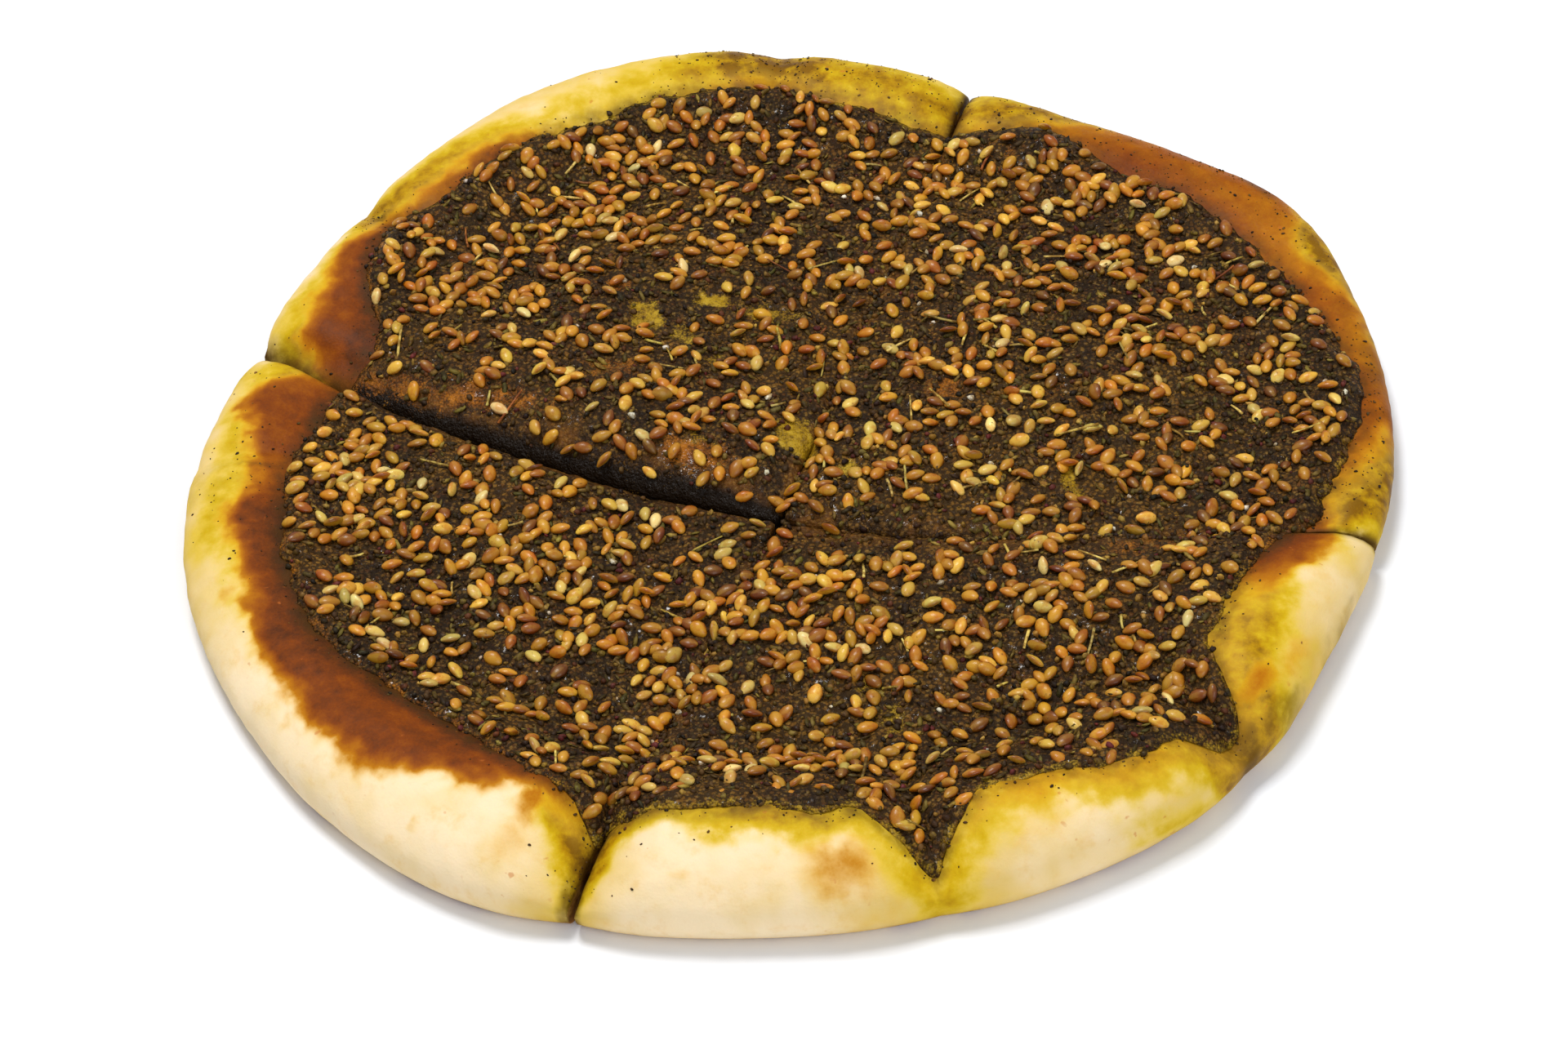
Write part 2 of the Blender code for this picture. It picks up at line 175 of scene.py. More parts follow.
def pasteReach(angle):
    wanted = around(angle, pasteColumn) + creased(angle, runColumn)
    return np.minimum(wanted, rimReach(angle) - bread["tuck"])


def crestHeight(angle):
    return around(angle, crestColumn) * (1 - np.minimum(creased(angle, sunkColumn), bread["mostSunk"]))


def tabled(reachAt):
    # The same function read from a fine table, which is much quicker.
    turns = np.linspace(-180, 180, 7201)
    values = reachAt(turns)
    return lambda angle: np.interp(angle, turns, values)


rimReach, pasteReach, crestHeight = (tabled(reachAt) for reachAt in (rimReach, pasteReach, crestHeight))


def fromCrossing(direction, reachAt):
    # How far this reach is from the crossing, closed in on from a first guess near the rim.
    far = np.full_like(direction, 99.0)
    for _ in range(12):
        x = crossing[0] + far * np.cos(direction)
        y = crossing[1] + far * np.sin(direction)
        far -= np.hypot(x, y) - reachAt(np.degrees(np.arctan2(y, x)))
    return far


def ease(share):
    share = np.clip(share, 0, 1)
    return share * share * (3 - 2 * share)


def pressed(aside, width, depth):
    # A rounded edge beside a cut: how deep it is this far aside.
    share = np.clip(1 - aside / width, 0, 1)
    return depth * (1 - np.sqrt(1 - share**2))


def topHeight(x, y, name, fromFirst, fromLast):
    # Height of a slice's top, from the crust's crest in to the level middle.
    angle = np.degrees(np.arctan2(y, x))
    inwards = np.maximum(rimReach(angle) - np.hypot(x, y), 0)
    crestIn = around(angle, crestInColumn)
    crest = crestHeight(angle)
    level = np.full_like(x, bread["thickness"])
    for puffX, puffY, radius, height, owner in puffs:
        if owner == name:
            level += height * np.exp(-((x - puffX) ** 2 + (y - puffY) ** 2) / radius**2)
    inner = crest + (level - crest) * ease((inwards - crestIn) / bread["innerSlope"])
    waist = bread["waist"]
    outer = waist + (crest - waist) * np.sqrt(1 - np.clip(1 - inwards / crestIn, 0, 1) ** 2)
    height = np.where(inwards < crestIn, outer, inner)
    _, first, last = slices[name]
    lowered = np.maximum(pressed(fromFirst, *first[1:3]), pressed(fromLast, *last[1:3]))
    _, far = aboutCrossing(x, y)
    lowered *= bread["tipPressed"] + (1 - bread["tipPressed"]) * ease(far / bread["tipFade"])
    height = height - lowered * np.clip(height / bread["fullyPressed"], 0, 1)
    return np.maximum(height, bread["leastThickness"])


def aboutCrossing(x, y):
    # Direction and distance of these places from the crossing of the cuts.
    return np.arctan2(y - crossing[1], x - crossing[0]), np.hypot(x - crossing[0], y - crossing[1])


def rimPoint(angle):
    reach = float(rimReach(np.array(angle)))
    turn = math.radians(angle)
    return Vector((reach * math.cos(turn) - crossing[0], reach * math.sin(turn) - crossing[1]))


cutEnds = {cut: rimPoint(angle) for cut, (angle, _, _) in halfCuts.items()}


def cutDirection(cut, share):
    end = cutEnds[cut]
    return math.atan2(end.y, end.x) + 4 * halfCuts[cut][1] * (1 - share) / end.length


def cutLine(cut, far):
    # Direction of a cut this far from the crossing.
    return cutDirection(cut, np.clip(far / cutEnds[cut].length, 0, 1))


def cutShare(cut, out):
    # out runs from 0 at the crossing to 1 at the paste's edge and 2 at the rim
    turn = np.array(halfCuts[cut][0])
    paste = float(pasteReach(turn) / rimReach(turn))
    return out * paste if out <= 1 else paste + min(out - 1, 1) * (1 - paste)


def rowSpan(name, out):
    # A row's directions from cut to cut and its length.
    _, (firstCut, *_), (lastCut, *_) = slices[name]
    first = cutDirection(firstCut, cutShare(firstCut, out))
    last = cutDirection(lastCut, cutShare(lastCut, out))
    last += 2 * math.pi if last < first else 0
    radius = float(fromCrossing(np.array([(first + last) / 2]), pasteReach)[0]) * min(out, 1)
    first += halfCuts[firstCut][2] / 2 / radius
    last -= halfCuts[lastCut][2] / 2 / radius
    return first, last, radius * (last - first)


def rimMiddle():
    turn = np.linspace(-180, 180, 1441)
    reach = rimReach(turn)
    x = reach * np.cos(np.radians(turn))
    y = reach * np.sin(np.radians(turn))
    return np.array([(x.max() + x.min()) / 2, (y.max() + y.min()) / 2, 0.0])


middle = rimMiddle()  # the frame's origin lies under this point


def paint(red, green, blue):
    # A colour as a picture editor gives it, 0 to 255, made linear.
    share = [value / 255 for value in (red, green, blue)]
    return tuple(s / 12.92 if s <= 0.04045 else ((s + 0.055) / 1.055) ** 2.4 for s in share)


def cloud(points, size, octaves=2, seed=0.0):
    # Smooth noise about 0 at these points, with blotches of this size.
    weaker, finer = 0.9, 2.1  # from one octave to the next
    shifted = points / size + (seed, -seed, 0.0)
    return np.array([
        noise.fractal(Vector(point), weaker, finer, octaves, noise_basis="PERLIN_ORIGINAL")
        for point in shifted
    ])


def spotted(x, y, spots, soft=0.7):
    # The strongest of some soft-edged spots at each place: x, y, half length, half width, turn, strength.
    total = np.zeros_like(x)
    for spotX, spotY, length, width, turn, strength in spots:
        turn = math.radians(turn)
        along = (x - spotX) * math.cos(turn) + (y - spotY) * math.sin(turn)
        across = (y - spotY) * math.cos(turn) - (x - spotX) * math.sin(turn)
        far = np.hypot(along / length, across / width)
        total = np.maximum(total, strength * ease((1 + soft / 2 - far) / soft))
    return total


def columnShares(width, count):
    # Places across a row, closer together beside the cuts.
    near = np.array((0.0, 0.25, 0.6, 1.1, 1.8, 2.7, 3.8, 5.2, 7.0))
    near *= min(1.0, 0.3 * width / near[-1])
    edge = near / width
    inner = np.linspace(edge[-1], 1 - edge[-1], count - 2 * len(near) + 2)
    return np.concatenate([edge[:-1], inner, 1 - edge[-2::-1]])


def rowPlan(name, out, columns, edgeAt, inset=0.0):
    # One row of a net over a slice: x, y and the distances from its two cuts.
    first, last, width = rowSpan(name, max(out, bread["tipStart"]))
    share = columnShares(width, columns)
    direction = first + share * (last - first)
    edge = fromCrossing(direction, edgeAt)
    if out <= 1:
        far = edge * max(out, bread["tipStart"])
    else:
        far = edge + (fromCrossing(direction, rimReach) - edge) * min(out - 1, 1)
    across = far * (last - first)
    clear = np.clip(np.minimum(share, 1 - share) * across, 0, inset) - inset
    direction = direction + np.where(share < 0.5, -clear, clear) / far
    x = crossing[0] + far * np.cos(direction)
    y = crossing[1] + far * np.sin(direction)
    return x, y, share * across, (1 - share) * across, direction


def netRow(name, out, columns, edgeAt, inset=0.0):
    # A row of a net with its heights. The rows at the tip close in on one point.
    x, y, fromFirst, fromLast, direction = rowPlan(name, out, columns, edgeAt, inset)
    height = topHeight(x, y, name, fromFirst, fromLast)
    if out < bread["tipStart"]:
        far = max(gap for _, _, gap in halfCuts.values()) + inset
        middleWay = direction.mean()
        tipX = np.array([crossing[0] + far * math.cos(middleWay)])
        tipY = np.array([crossing[1] + far * math.sin(middleWay)])
        none = np.zeros(1)
        tipHeight = topHeight(tipX, tipY, name, none, none)
        share = out / bread["tipStart"]
        x, y = tipX + (x - tipX) * share, tipY + (y - tipY) * share
        height = tipHeight + (height - tipHeight) * share
    return x, y, height


def gridNet(columns, rows):
    # A flat grid whose vertices come back as rows from the tip and columns from the first cut.
    net = bmesh.new()
    net.verts.layers.float.new("cutFace")
    bmesh.ops.create_grid(net, x_segments=columns - 1, y_segments=rows - 1, size=0.5)
    grid = [[None] * columns for _ in range(rows)]
    for vertex in net.verts:
        column = columns - 1 - round((vertex.co.x + 0.5) * (columns - 1))
        row = rows - 1 - round((vertex.co.y + 0.5) * (rows - 1))
        grid[row][column] = vertex
    return net, grid


def newVertices(result):
    return [item for item in result["geom"] if isinstance(item, bmesh.types.BMVert)]


def growWall(net, line, steps, move):
    # Extrudes this line of vertices in steps; move places each new vertex.
    edges = [net.edges.get(pair) for pair in zip(line, line[1:])]
    for step in range(steps):
        made = newVertices(bmesh.ops.extrude_edge_only(net, edges=edges))
        for vertex in made:
            move(vertex, step)
        fresh = set(made)
        near = {edge for vertex in made for edge in vertex.link_edges}
        edges = [edge for edge in near if fresh.issuperset(edge.verts)]


def addObject(name, data):
    made = bpy.data.objects.new(name, data)
    bpy.context.scene.collection.objects.link(made)
    return made


def makeObject(name, shape, material, sharp=40):
    # A piece from a net in millimetres about the middle of the bread.
    for vertex in shape.verts:
        vertex.co = (vertex.co - Vector(middle)) * mm
    bmesh.ops.recalc_face_normals(shape, faces=shape.faces[:])
    mesh = bpy.data.meshes.new(name)
    shape.to_mesh(mesh)
    shape.free()
    mesh.shade_smooth()
    if sharp:
        mesh.set_sharp_from_angle(angle=math.radians(sharp))
    mesh.materials.append(material)
    made = addObject(name, mesh)
    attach(made, "root")
    return made


def setAttribute(piece, name, values):
    layer = piece.data.attributes.new(name, "FLOAT", "POINT")
    layer.data.foreach_set("value", np.asarray(values, dtype=np.float32))


def positions(piece):
    # Places of a piece's vertices, in millimetres about the middle of the bread.
    flat = np.empty(len(piece.data.vertices) * 3)
    piece.data.vertices.foreach_get("co", flat)
    return flat.reshape(-1, 3) / mm + middle


# Shader helpers

def newMaterial(name, roughness=0.5, coat=0.0, shine=0.5):
    material = bpy.data.materials.new(name)
    material.use_nodes = True
    shader = material.node_tree.nodes["Principled BSDF"]
    shader.inputs["Roughness"].default_value = roughness
    shader.inputs["Coat Weight"].default_value = coat
    shader.inputs["Coat Roughness"].default_value = 0.18
    shader.inputs["Specular IOR Level"].default_value = shine
    return material, material.node_tree, shader


def setInput(tree, node, key, value):
    # value is a socket to link or a constant
    if hasattr(value, "node"):
        tree.links.new(value, node.inputs[key])
    elif isinstance(value, tuple):
        node.inputs[key].default_value = (*value, 1.0)[: len(node.inputs[key].default_value)]
    else:
        node.inputs[key].default_value = value


def addNode(tree, kind, settings=(), **inputs):
    node = tree.nodes.new(kind)
    for key, value in dict(settings).items():
        setattr(node, key, value)
    for key, value in inputs.items():
        setInput(tree, node, key.replace("_", " "), value)
    return node


def maths(tree, operation, first, second=0.0, clamp=False):
    node = addNode(tree, "ShaderNodeMath", {"operation": operation, "use_clamp": clamp})
    setInput(tree, node, 0, first)
    setInput(tree, node, 1, second)
    return node.outputs[0]


def plus(tree, first, second, clamp=False):
    return maths(tree, "ADD", first, second, clamp)


def less(tree, first, second, clamp=False):
    return maths(tree, "SUBTRACT", first, second, clamp)


def times(tree, first, second):
    return maths(tree, "MULTIPLY", first, second)


def most(tree, first, second):
    return maths(tree, "MAXIMUM", first, second)


def mixColour(tree, share, first, second, blend="MIX"):
    # Each colour is a socket, or red, green and blue from 0 to 255.
    node = addNode(tree, "ShaderNodeMix", {"data_type": "RGBA", "blend_type": blend})
    setInput(tree, node, 0, share)
    for key, colour in ((6, first), (7, second)):
        setInput(tree, node, key, paint(*colour) if isinstance(colour, tuple) else colour)
    return node.outputs[2]


def stretch(tree, value, low, high, toLow=0.0, toHigh=1.0, smooth=True):
    # Takes low to high onto toLow to toHigh.
    kind = "SMOOTHSTEP" if smooth else "LINEAR"
    node = addNode(tree, "ShaderNodeMapRange", {"interpolation_type": kind}, Value=value)
    for key, number in (("From Min", low), ("From Max", high), ("To Min", toLow), ("To Max", toHigh)):
        node.inputs[key].default_value = number
    return node.outputs[0]


def ramp(tree, value, stops):
    # Each stop is a place from 0 to 1 and a colour.
    node = addNode(tree, "ShaderNodeValToRGB", Fac=value)
    elements = node.color_ramp.elements
    while len(elements) < len(stops):
        elements.new(0.5)
    for element, (place, colour) in zip(elements, stops):
        element.position = place
        element.color = (*paint(*colour), 1)
    return node.outputs[0]


def attribute(tree, name, output="Fac"):
    return addNode(tree, "ShaderNodeAttribute", {"attribute_name": name}).outputs[output]


def place(tree):
    return addNode(tree, "ShaderNodeTexCoord").outputs["Object"]


def noiseAt(tree, where, size, detail=3.0, rough=0.55):
    # size is that of the blotches, in millimetres
    settings = {"Scale": 1 / (size * mm), "Detail": detail, "Roughness": rough}
    return addNode(tree, "ShaderNodeTexNoise", Vector=where, **settings).outputs["Fac"]


def softGlow(shader, weight, depth):
    # Light that goes this deep into dough or seed, in millimetres.
    shader.inputs["Subsurface Weight"].default_value = weight
    shader.inputs["Subsurface Radius"].default_value = (1.0, 0.5, 0.2)
    shader.inputs["Subsurface Scale"].default_value = depth * mm


def finishShader(tree, shader, colour, wet, dryRough, wetRough, soaked=1.0):
    # Wetness from 0 to soaked takes the roughness from dry to wet.
    tree.links.new(colour, shader.inputs["Base Color"])
    roughness = stretch(tree, wet, 0.0, soaked, dryRough, wetRough, smooth=False)
    tree.links.new(roughness, shader.inputs["Roughness"])


def bump(tree, shader, height, strength, distance):
    node = addNode(tree, "ShaderNodeBump", Strength=strength, Distance=distance * mm, Height=height)
    tree.links.new(node.outputs["Normal"], shader.inputs["Normal"])


def grainGroup():
    # Fine grains and oily glints that the crust, the paste and its crumbs share.
    group = bpy.data.node_groups.new("oilyGrain", "ShaderNodeTree")
    for name, default in (("Size", 0.8), ("Blotch", 6.0), ("Seed", 0.0)):
        socket = group.interface.new_socket(name, in_out="INPUT", socket_type="NodeSocketFloat")
        socket.default_value = default
    for name in ("Grain", "Cell", "Blotches", "Glints"):
        group.interface.new_socket(name, in_out="OUTPUT", socket_type="NodeSocketFloat")
    given = group.nodes.new("NodeGroupInput").outputs
    result = group.nodes.new("NodeGroupOutput").inputs
    shift = addNode(group, "ShaderNodeVectorMath", {"operation": "ADD"})
    setInput(group, shift, 0, place(group))
    setInput(group, shift, 1, given["Seed"])

    def texture(kind, scale, **settings):
        node = addNode(group, f"ShaderNodeTex{kind}", Vector=shift.outputs[0], Scale=scale, **settings)
        return node.outputs

    perMetre = maths(group, "DIVIDE", 1000.0, given["Size"])
    perBlotch = maths(group, "DIVIDE", 1000.0, given["Blotch"])
    cells = texture("Voronoi", perMetre)
    fine = texture("Noise", times(group, perMetre, 2.2), Detail=3.0)
    wide = texture("Noise", perBlotch, Detail=3.0, Roughness=0.6)
    sparkle = texture("Noise", times(group, perMetre, 0.9), Detail=4.0, Roughness=0.75)
    dome = less(group, 1.0, cells["Distance"], clamp=True)
    mixed = plus(group, times(group, dome, 0.6), times(group, fine["Fac"], 0.5))
    tint = addNode(group, "ShaderNodeSeparateColor", Color=cells["Color"])
    group.links.new(mixed, result["Grain"])
    group.links.new(tint.outputs[0], result["Cell"])
    group.links.new(wide["Fac"], result["Blotches"])
    group.links.new(stretch(group, sparkle["Fac"], 0.5, 0.72), result["Glints"])
    return group


oilyGrain = grainGroup()


def useGrain(tree, size, blotch, seed=0.0):
    node = addNode(tree, "ShaderNodeGroup", {"node_tree": oilyGrain}, Size=size, Blotch=blotch, Seed=seed)
    return node.outputs


# Bread: four slices with their own crust

breadLook = {
    "columns": 190,  # of the net over a slice
    "hiddenRows": 10,  # under the paste
    "crustRows": 44,
    "underRows": 9,  # round the underside of the rim
    "wallRows": 5,
    "inset": 0.12,  # behind the paste that runs down a cut
    "lumps": ((9.0, 0.22), (3.0, 0.10), (1.2, 0.035)),  # size and height
    "lumpsAbove": 4.0,  # full height of the lumps above this height
    "cream": (241, 218, 178),
    "yellow": (216, 180, 72),
    "mottle": (222, 172, 68),
    "oiled": (
        (0.0, (238, 212, 118)), (0.3, (220, 188, 60)), (0.55, (200, 164, 16)),
        (0.8, (174, 130, 4)), (1.0, (128, 88, 6)),
    ),
    "toasted": (
        (0.0, (234, 198, 84)), (0.22, (214, 158, 26)), (0.4, (178, 110, 8)), (0.56, (150, 80, 6)),
        (0.72, (122, 57, 7)), (0.86, (88, 42, 12)), (1.0, (58, 32, 14)),
    ),
    "specks": (190, 104, 40),
    # colour of the smears, the dust and the painted shade on the crust
    "dirtAndShade": (74, 48, 14),
    # crumb of the cut faces, darkened for oil soaked in and for painted shade in the cuts
    "shadedCrumb": ((176, 134, 62), (134, 90, 34), (84, 52, 16)),
    "underside": ((226, 184, 108), (156, 94, 40), (96, 56, 26)),
}

# How the crust is baked, by angle: toasting next to the paste and how far out it goes, oil soaked in
# and how far, yellow all over, a dusting of herbs, and how far the paste is smeared outwards.
toastBy, toastWidth, oilBy, oilWidth, yellowBy, dustBy, spreadBy = 1, 2, 3, 4, 5, 6, 7
baked = np.array((
    (-178, 0.62, 8.2, 0.62, 18, 0.85, 0.30, 2.5),
    (-172, 0.80, 9.5, 0.62, 20, 0.85, 0.10, 1.2),
    (-165, 0.80, 8.5, 0.50, 16, 0.65, 0.05, 1.2),
    (-157, 0.80, 8.5, 0.40, 14, 0.35, 0.03, 1.2),
    (-150, 0.78, 10.5, 0.30, 14, 0.18, 0.00, 1.0),
    (-144, 0.76, 12.5, 0.25, 15, 0.08, 0.00, 0.4),
    (-139, 0.75, 13.8, 0.25, 16, 0.04, 0.00, 0.3),
    (-134, 0.75, 15.8, 0.25, 18, 0.02, 0.00, 0.3),
    (-130, 0.76, 13.2, 0.25, 16, 0.02, 0.00, 0.5),
    (-125, 0.76, 9.8, 0.25, 13, 0.02, 0.00, 1.0),
    (-120, 0.74, 7.6, 0.20, 10, 0.05, 0.00, 2.6),
    (-117, 0.60, 7.0, 0.50, 12, 0.25, 0.00, 3.2),
    (-114, 0.30, 5.0, 0.75, 14, 0.60, 0.05, 1.5),
    (-110, 0.12, 3.0, 0.90, 14, 0.80, 0.10, 0.5),
    (-107, 0.10, 4.0, 0.75, 8, 0.30, 0.05, 2.6),
    (-103, 0.12, 5.0, 0.60, 8, 0.03, 0.00, 3.4),
    (-95, 0.12, 3.0, 0.74, 9, 0.06, 0.00, 1.8),
    (-89, 0.14, 4.0, 0.72, 9, 0.30, 0.00, 3.2),
    (-85, 0.10, 3.0, 0.46, 12, 0.75, 0.00, 1.8),
    (-80, 0.12, 2.0, 0.60, 14, 0.85, 0.00, 0.0),
    (-76, 0.18, 5.0, 0.56, 12, 0.75, 0.00, 1.6),
    (-70, 0.22, 8.0, 0.74, 10, 0.40, 0.00, 0.8),
    (-64, 0.20, 7.0, 0.82, 10, 0.30, 0.00, 1.2),
    (-58, 0.22, 8.0, 0.80, 12, 0.75, 0.00, 3.0),
    (-53, 0.15, 6.0, 0.90, 14, 0.90, 0.10, 1.0),
    (-49, 0.15, 6.0, 1.00, 16, 0.95, 0.30, 0.0),
    (-46, 0.16, 9.0, 0.88, 20, 1.00, 0.12, -0.5),
    (-41, 0.12, 6.0, 0.78, 16, 0.90, 0.05, 0.0),
    (-35, 0.26, 6.5, 0.72, 13, 0.72, 0.00, 0.3),
    (-29, 0.64, 7.8, 0.56, 12, 0.58, 0.00, 0.0),
    (-24, 0.68, 7.8, 0.56, 12, 0.60, 0.00, 0.0),
    (-20, 0.45, 4.0, 0.80, 12, 0.50, 0.15, 1.0),
    (-16, 0.24, 4.0, 0.92, 20, 0.95, 0.50, 1.2),
    (-10, 0.38, 7.0, 0.98, 20, 0.95, 0.55, 1.2),
    (-4, 0.54, 8.0, 1.00, 20, 0.95, 0.80, 1.5),
    (2, 0.50, 9.0, 1.00, 20, 0.95, 0.85, 1.8),
    (8, 0.42, 7.0, 0.96, 20, 0.95, 0.60, 0.8),
    (14, 0.54, 9.0, 0.92, 20, 0.95, 0.35, 0.3),
    (22, 0.42, 6.0, 0.96, 22, 0.95, 0.30, 0.6),
    (30, 0.52, 14.0, 0.96, 22, 0.95, 0.30, 0.3),
    (37, 0.54, 15.0, 0.96, 22, 0.95, 0.45, 0.0),
    (44, 0.56, 11.0, 0.96, 20, 0.95, 0.50, -2.6),
    (50, 0.46, 8.0, 0.94, 20, 0.95, 0.40, -1.0),
    (58, 0.30, 4.0, 0.88, 16, 0.95, 0.30, 1.6),
    (65, 0.25, 4.0, 0.85, 18, 0.90, 0.35, 1.6),
    (72, 0.18, 3.0, 0.75, 18, 0.90, 0.30, 1.2),
    (80, 0.15, 3.0, 0.78, 18, 0.95, 0.35, 0.5),
    (87, 0.24, 4.0, 0.98, 20, 0.95, 0.55, 0.8),
    (93, 0.24, 4.0, 0.92, 20, 0.95, 0.55, 0.8),
    (99, 0.15, 3.0, 0.56, 16, 0.85, 0.15, 0.8),
    (108, 0.12, 3.0, 0.42, 13, 0.75, 0.03, 0.2),
    (115, 0.20, 3.0, 0.45, 11, 0.65, 0.00, 0.6),
    (121, 0.56, 4.0, 0.74, 12, 0.65, 0.00, 1.2),
    (127, 0.56, 3.5, 0.78, 13, 0.75, 0.00, 0.4),
    (133, 0.35, 3.0, 0.85, 13, 0.80, 0.10, -1.0),
    (138, 0.45, 3.5, 0.90, 12, 0.75, 0.35, 0.8),
    (142, 0.70, 6.0, 0.72, 11, 0.45, 0.05, 0.5),
    (147, 0.72, 7.8, 0.68, 14, 0.45, 0.03, 0.4),
    (152, 0.72, 10.2, 0.68, 18, 0.60, 0.03, -0.6),
    (157, 0.72, 10.5, 0.76, 20, 0.85, 0.10, -1.6),
    (160, 0.70, 8.0, 0.80, 18, 0.80, 0.20, -1.2),
    (164, 0.50, 7.0, 0.78, 20, 0.85, 0.20, 0.5),
    (167, 0.66, 12.5, 0.75, 20, 0.80, 0.10, 0.5),
    (170, 0.72, 15.0, 0.65, 20, 0.75, 0.05, 0.8),
    (175, 0.70, 10.0, 0.62, 20, 0.80, 0.08, 1.0),
))
# Blotches away from the paste's edge: x, y, half length, half width, turn, strength.
blushes = (
    (-42.5, -83.5, 4.5, 2.0, 63, 0.40),
    (-46.0, -90.0, 3.5, 2.2, 63, 0.20),
    (3.5, -99.5, 5.4, 3.8, 0, 0.33),
    (33.5, -92.0, 5.5, 3.0, 20, 0.15),
    (52.0, -83.0, 4.0, 2.0, 35, 0.16),
    (68.0, -68.0, 4.0, 2.4, 48, 0.38),
    (75.0, -62.0, 5.0, 2.0, 52, 0.26),
    (-90.0, -31.0, 1.4, 1.8, 20, 0.26),
    (-100.5, -5.0, 1.5, 2.4, 0, 0.16),
    (-80.0, -60.0, 1.2, 1.0, 0, 0.18),
    (-72.0, -72.0, 1.6, 1.0, 45, 0.16),
    (-60.0, -84.0, 1.1, 0.9, 0, 0.18),
    (-22.0, -99.0, 1.6, 1.1, 0, 0.16),
    (-24.0, 101.0, 5.0, 2.0, 0, 0.16),
    (-58.0, 82.0, 4.0, 2.0, 50, 0.18),
)
# Dark smears of oil and herbs on the crust, and lines of painted shade.
smearsAndShadeLines = (
    (97.0, 7.0, 7.0, 2.5, 85, 0.45),
    (84.0, 54.5, 5.0, 1.4, -55, 0.55),
    (-5.5, 98.5, 7.0, 1.5, 2, 0.45),
    (5.0, 96.0, 3.0, 2.0, 0, 0.5),
    (-68.0, 63.5, 1.8, 1.1, 45, 0.85),
    (67.0, -78.5, 6.0, 2.2, -50, 0.75),
    (17.0, -96.0, 1.2, 3.6, 10, 0.15),
    # The rows from here on are painted shade: along the lower edge of the right rim, in a crease at the left,
    # and in the gaps where the bottom and top cuts meet the rim.
    (82.5, -57.0, 13.0, 1.6, 66, 0.5),
    (-83.0, -1.4, 6.5, 0.7, -8, 0.5),
    (75.0, -68.0, 7.0, 1.2, 45, 0.45),
    (-37.2, -97.0, 1.1, 8.0, -20, 0.75),
    (38.0, 88.5, 1.1, 7.0, -23, 0.95),
)


def breadColours():
    look = breadLook
    material, tree, shader = newMaterial("bakedDough", 0.6, shine=0.08)
    where = place(tree)
    names = ("toast", "oil", "yellow", "smear", "under", "cutFace")
    toast, oil, yellow, smear, under, cutFace = (attribute(tree, name) for name in names)
    grain = useGrain(tree, 0.5, 5.0)
    mottle = noiseAt(tree, where, 3.2, 4.0, 0.6)
    cloudy = noiseAt(tree, where, 14.0, 3.0)
    uneven = less(tree, mottle, 0.5)
    # Plain crust, from cream to yellow
    yellowed = plus(tree, yellow, times(tree, less(tree, cloudy, 0.45), 0.6), clamp=True)
    colour = mixColour(tree, yellowed, look["cream"], look["yellow"])
    colour = mixColour(tree, stretch(tree, mottle, 0.50, 0.80, 0.0, 0.35), colour, look["mottle"])
    # Oil soaked in, then toasting over it
    oily = plus(tree, oil, times(tree, uneven, times(tree, oil, 1.6)), clamp=True)
    colour = mixColour(tree, stretch(tree, oily, 0.04, 0.5), colour, ramp(tree, oily, look["oiled"]))
    speckle = times(tree, less(tree, grain["Grain"], 0.55), 0.14)
    broken = plus(tree, times(tree, uneven, 0.55), speckle)
    toasted = plus(tree, toast, times(tree, toast, broken), clamp=True)
    colour = mixColour(tree, stretch(tree, toasted, 0.0, 0.40), colour, ramp(tree, toasted, look["toasted"]))
    # Specks, dirt from the paste with painted shade along the cut gaps, the crumb in the cuts darkened by oil
    # and painted shade, and the underside
    specks = stretch(tree, noiseAt(tree, where, 1.5, 2.0, 0.4), 0.68, 0.76)
    sparse = stretch(tree, noiseAt(tree, where, 9.0, 1.0), 0.50, 0.62)
    colour = mixColour(tree, times(tree, times(tree, specks, sparse), 0.5), colour, look["specks"])
    smearAndShadeShare = times(tree, smear, stretch(tree, mottle, 0.25, 0.6, 0.55, 1.0))
    colour = mixColour(tree, smearAndShadeShare, colour, look["dirtAndShade"])
    # The cut faces: crumb darkened for oil and for painted shade in the gaps.
    pale, brown, dark = look["shadedCrumb"]
    shadedCrumb = mixColour(tree, grain["Cell"], pale, brown)
    shadedCrumb = mixColour(tree, stretch(tree, mottle, 0.35, 0.65), shadedCrumb, dark)
    colour = mixColour(tree, cutFace, colour, shadedCrumb)
    pale, brown, dark = look["underside"]
    beneath = mixColour(tree, stretch(tree, cloudy, 0.46, 0.62), pale, brown)
    beneath = mixColour(tree, stretch(tree, mottle, 0.60, 0.72), beneath, dark)
    colour = mixColour(tree, under, colour, beneath)
    wet = most(tree, times(tree, oily, 0.7), times(tree, toasted, 0.6))
    finishShader(tree, shader, colour, wet, 0.68, 0.44, 0.8)
    bump(tree, shader, plus(tree, times(tree, grain["Grain"], 0.4), mottle), 0.35, 0.35)
    softGlow(shader, 0.08, 0.8)
    return material


